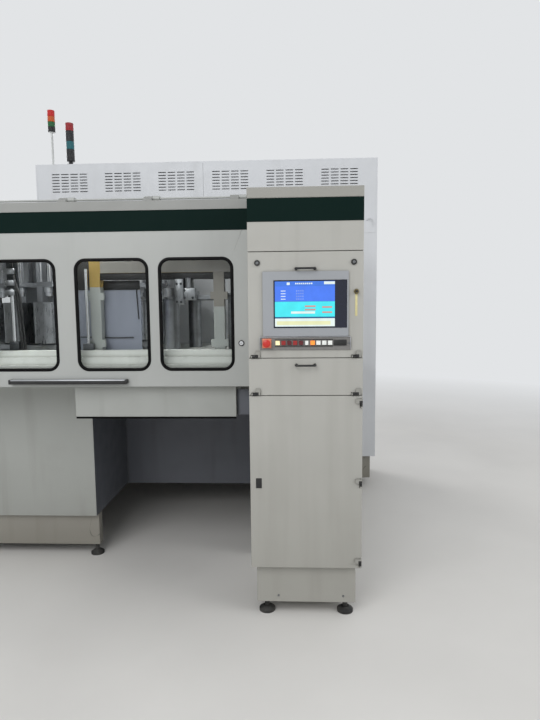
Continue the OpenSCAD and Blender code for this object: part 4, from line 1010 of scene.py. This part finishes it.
def add_guide(inside):
    """Behind the left window: a bright guide on its foot, a bracket with three clamps, three hoses."""
    x0, y0, half_w = -0.899, -0.93, 0.03
    foot_z, top_z = 1.515, 1.79
    inside.paint("dark_steel")
    low = (x0 - half_w, y0 - 0.02, Span("bed_plate").z1)
    inside.box(low, (x0 + half_w, y0 + 0.02, foot_z), 0.003)
    inside.box((x0 - 0.04, y0 + 0.012, top_z), (x0 + half_w, y0 + 0.03, 2.2), 0.003)
    inside.paint("bright_rod")
    inside.tube([(x0, y0, foot_z), (x0, y0, top_z + 0.05)], 0.012, 20)
    inside.paint("aluminium")
    clamp_h = 0.035
    for level in (1.8, 1.86, 1.93):
        low = (x0 - 0.045, y0 - 0.018, level)
        inside.box(low, (x0 + 0.02, y0 + 0.012, level + clamp_h), 0.003)
    inside.paint("black_plastic")
    hose_r, pitch, drop = 0.006, 0.014, 0.05
    for step in range(3):
        x = x0 + half_w + pitch * step
        top = 2.02 - drop * step
        path = [(x, y0 + 0.02, 1.42), (x, y0, 1.6), (x - 0.01, y0 - 0.005, 1.8), (x0, y0 + 0.01, top)]
        inside.tube(path, hose_r, 10)


def add_thin_hoses(inside):
    """Two thin hoses on the partition, one upright and one level."""
    y, r = Span("partition_panel").y0 - 0.004, 0.0028
    upright = ((-0.143, 1.828), (-0.14, 1.76), (-0.134, 1.645))
    level = ((-0.517, 1.536), (-0.4, 1.533), (-0.27, 1.53), (-0.169, 1.531))
    inside.paint("black_plastic")
    for hose in (upright, level):
        inside.tube([(x, y, z) for x, z in hose], r, 8)


def add_chamber_details():
    """What stands close behind the front windows, as one piece."""
    inside = Shape("bright_rod", "black_plastic", "aluminium", "frame_grey", "dark_steel")
    for add in (add_post_details, add_transfer_drive, add_guide, add_thin_hoses):
        add(inside)
    inside.piece("chamber_details", "root")


# Floor and surroundings

BACKDROP = rgb(226, 228, 230)


def add_floor():
    """A pale floor that turns into the background's colour far from the machine."""
    look = Look("floor", rough=0.75)
    base = look.mix(look.band(look.noise(0.9, 5.0), 0.35, 0.65), rgb(212, 210, 206), rgb(218, 216, 212))
    look.colour(base)
    look.bump(look.noise(260.0, 3.0), 0.0002)
    far = look.node("VectorMath")
    far.operation = "LENGTH"
    look.put(far.inputs[0], look.where)
    pale = look.node("Emission", Color=BACKDROP).outputs[0]
    share = look.nodes.new("ShaderNodeMixShader")
    fade_from, fade_to = 4.0, 9.5
    look.put(share.inputs[0], look.band(far.outputs["Value"], fade_from, fade_to))
    look.put(share.inputs[1], look.shader.outputs[0])
    look.put(share.inputs[2], pale)
    look.put(look.nodes["Material Output"].inputs["Surface"], share.outputs[0])
    mesh = bpy.data.meshes.new("floor")
    reach = 40
    corners = [(-reach, -reach, 0), (reach, -reach, 0), (reach, reach, 0), (-reach, reach, 0)]
    mesh.from_pydata(corners, [], [(0, 1, 2, 3)])
    mesh.materials.append(look.mat)
    floor = bpy.data.objects.new("floor", mesh)
    bpy.context.scene.collection.objects.link(floor)


def add_world():
    """Soft light from all round. The camera, metal and glass see the pale backdrop instead."""
    world = bpy.data.worlds.new("studio")
    world.use_nodes = True
    bpy.context.scene.world = world
    nodes, links = world.node_tree.nodes, world.node_tree.links
    light, shown = nodes["Background"], nodes.new("ShaderNodeBackground")
    light.inputs["Color"].default_value = rgb(214, 216, 219)
    light.inputs["Strength"].default_value = 0.86
    shown.inputs["Color"].default_value = BACKDROP
    ray = nodes.new("ShaderNodeLightPath")
    seen = ray.outputs["Is Camera Ray"]
    for kind in ("Is Glossy Ray", "Is Transmission Ray"):
        either = nodes.new("ShaderNodeMath")
        either.operation = "MAXIMUM"
        links.new(seen, either.inputs[0])
        links.new(ray.outputs[kind], either.inputs[1])
        seen = either.outputs[0]
    mix = nodes.new("ShaderNodeMixShader")
    links.new(seen, mix.inputs[0])
    links.new(light.outputs[0], mix.inputs[1])
    links.new(shown.outputs[0], mix.inputs[2])
    links.new(mix.outputs[0], nodes["World Output"].inputs["Surface"])


add_camera()
add_world()
add_floor()
add_lamp("front_soft", (-1.5, -5.5, 4.6), (0.0, 0.0, 1.3), 4.0, 140)
add_lamp("right_soft", (5.5, -3.0, 3.6), (0.2, 0.0, 1.3), 3.5, 95)
add_lamp("rear_soft", (-3.5, 6.0, 4.6), (0.0, 0.5, 1.3), 4.0, 170)
add_lamp("chamber_light", (-0.4, -0.6, 2.28), (-0.4, -0.5, 1.3), 0.7, 30)
bpy.context.scene.view_settings.view_transform = "Standard"

dress_nodes()
add_softened()
add_doors()
add_rubber_rings("window_rubbers", 1)
add_rubber_rings("side_rubbers", 0)
add_grip()
add_columns()
add_chamber_details()
add_screen_picture()
add_strip_details()
add_stop_button()
add_screen_door_locks()
add_key_switch_details()
add_bow_handles()
add_plinth_screws()
add_flap_lock_face()
add_gap_shade_plate()
add_louvre_hoods()
add_casing_hook()
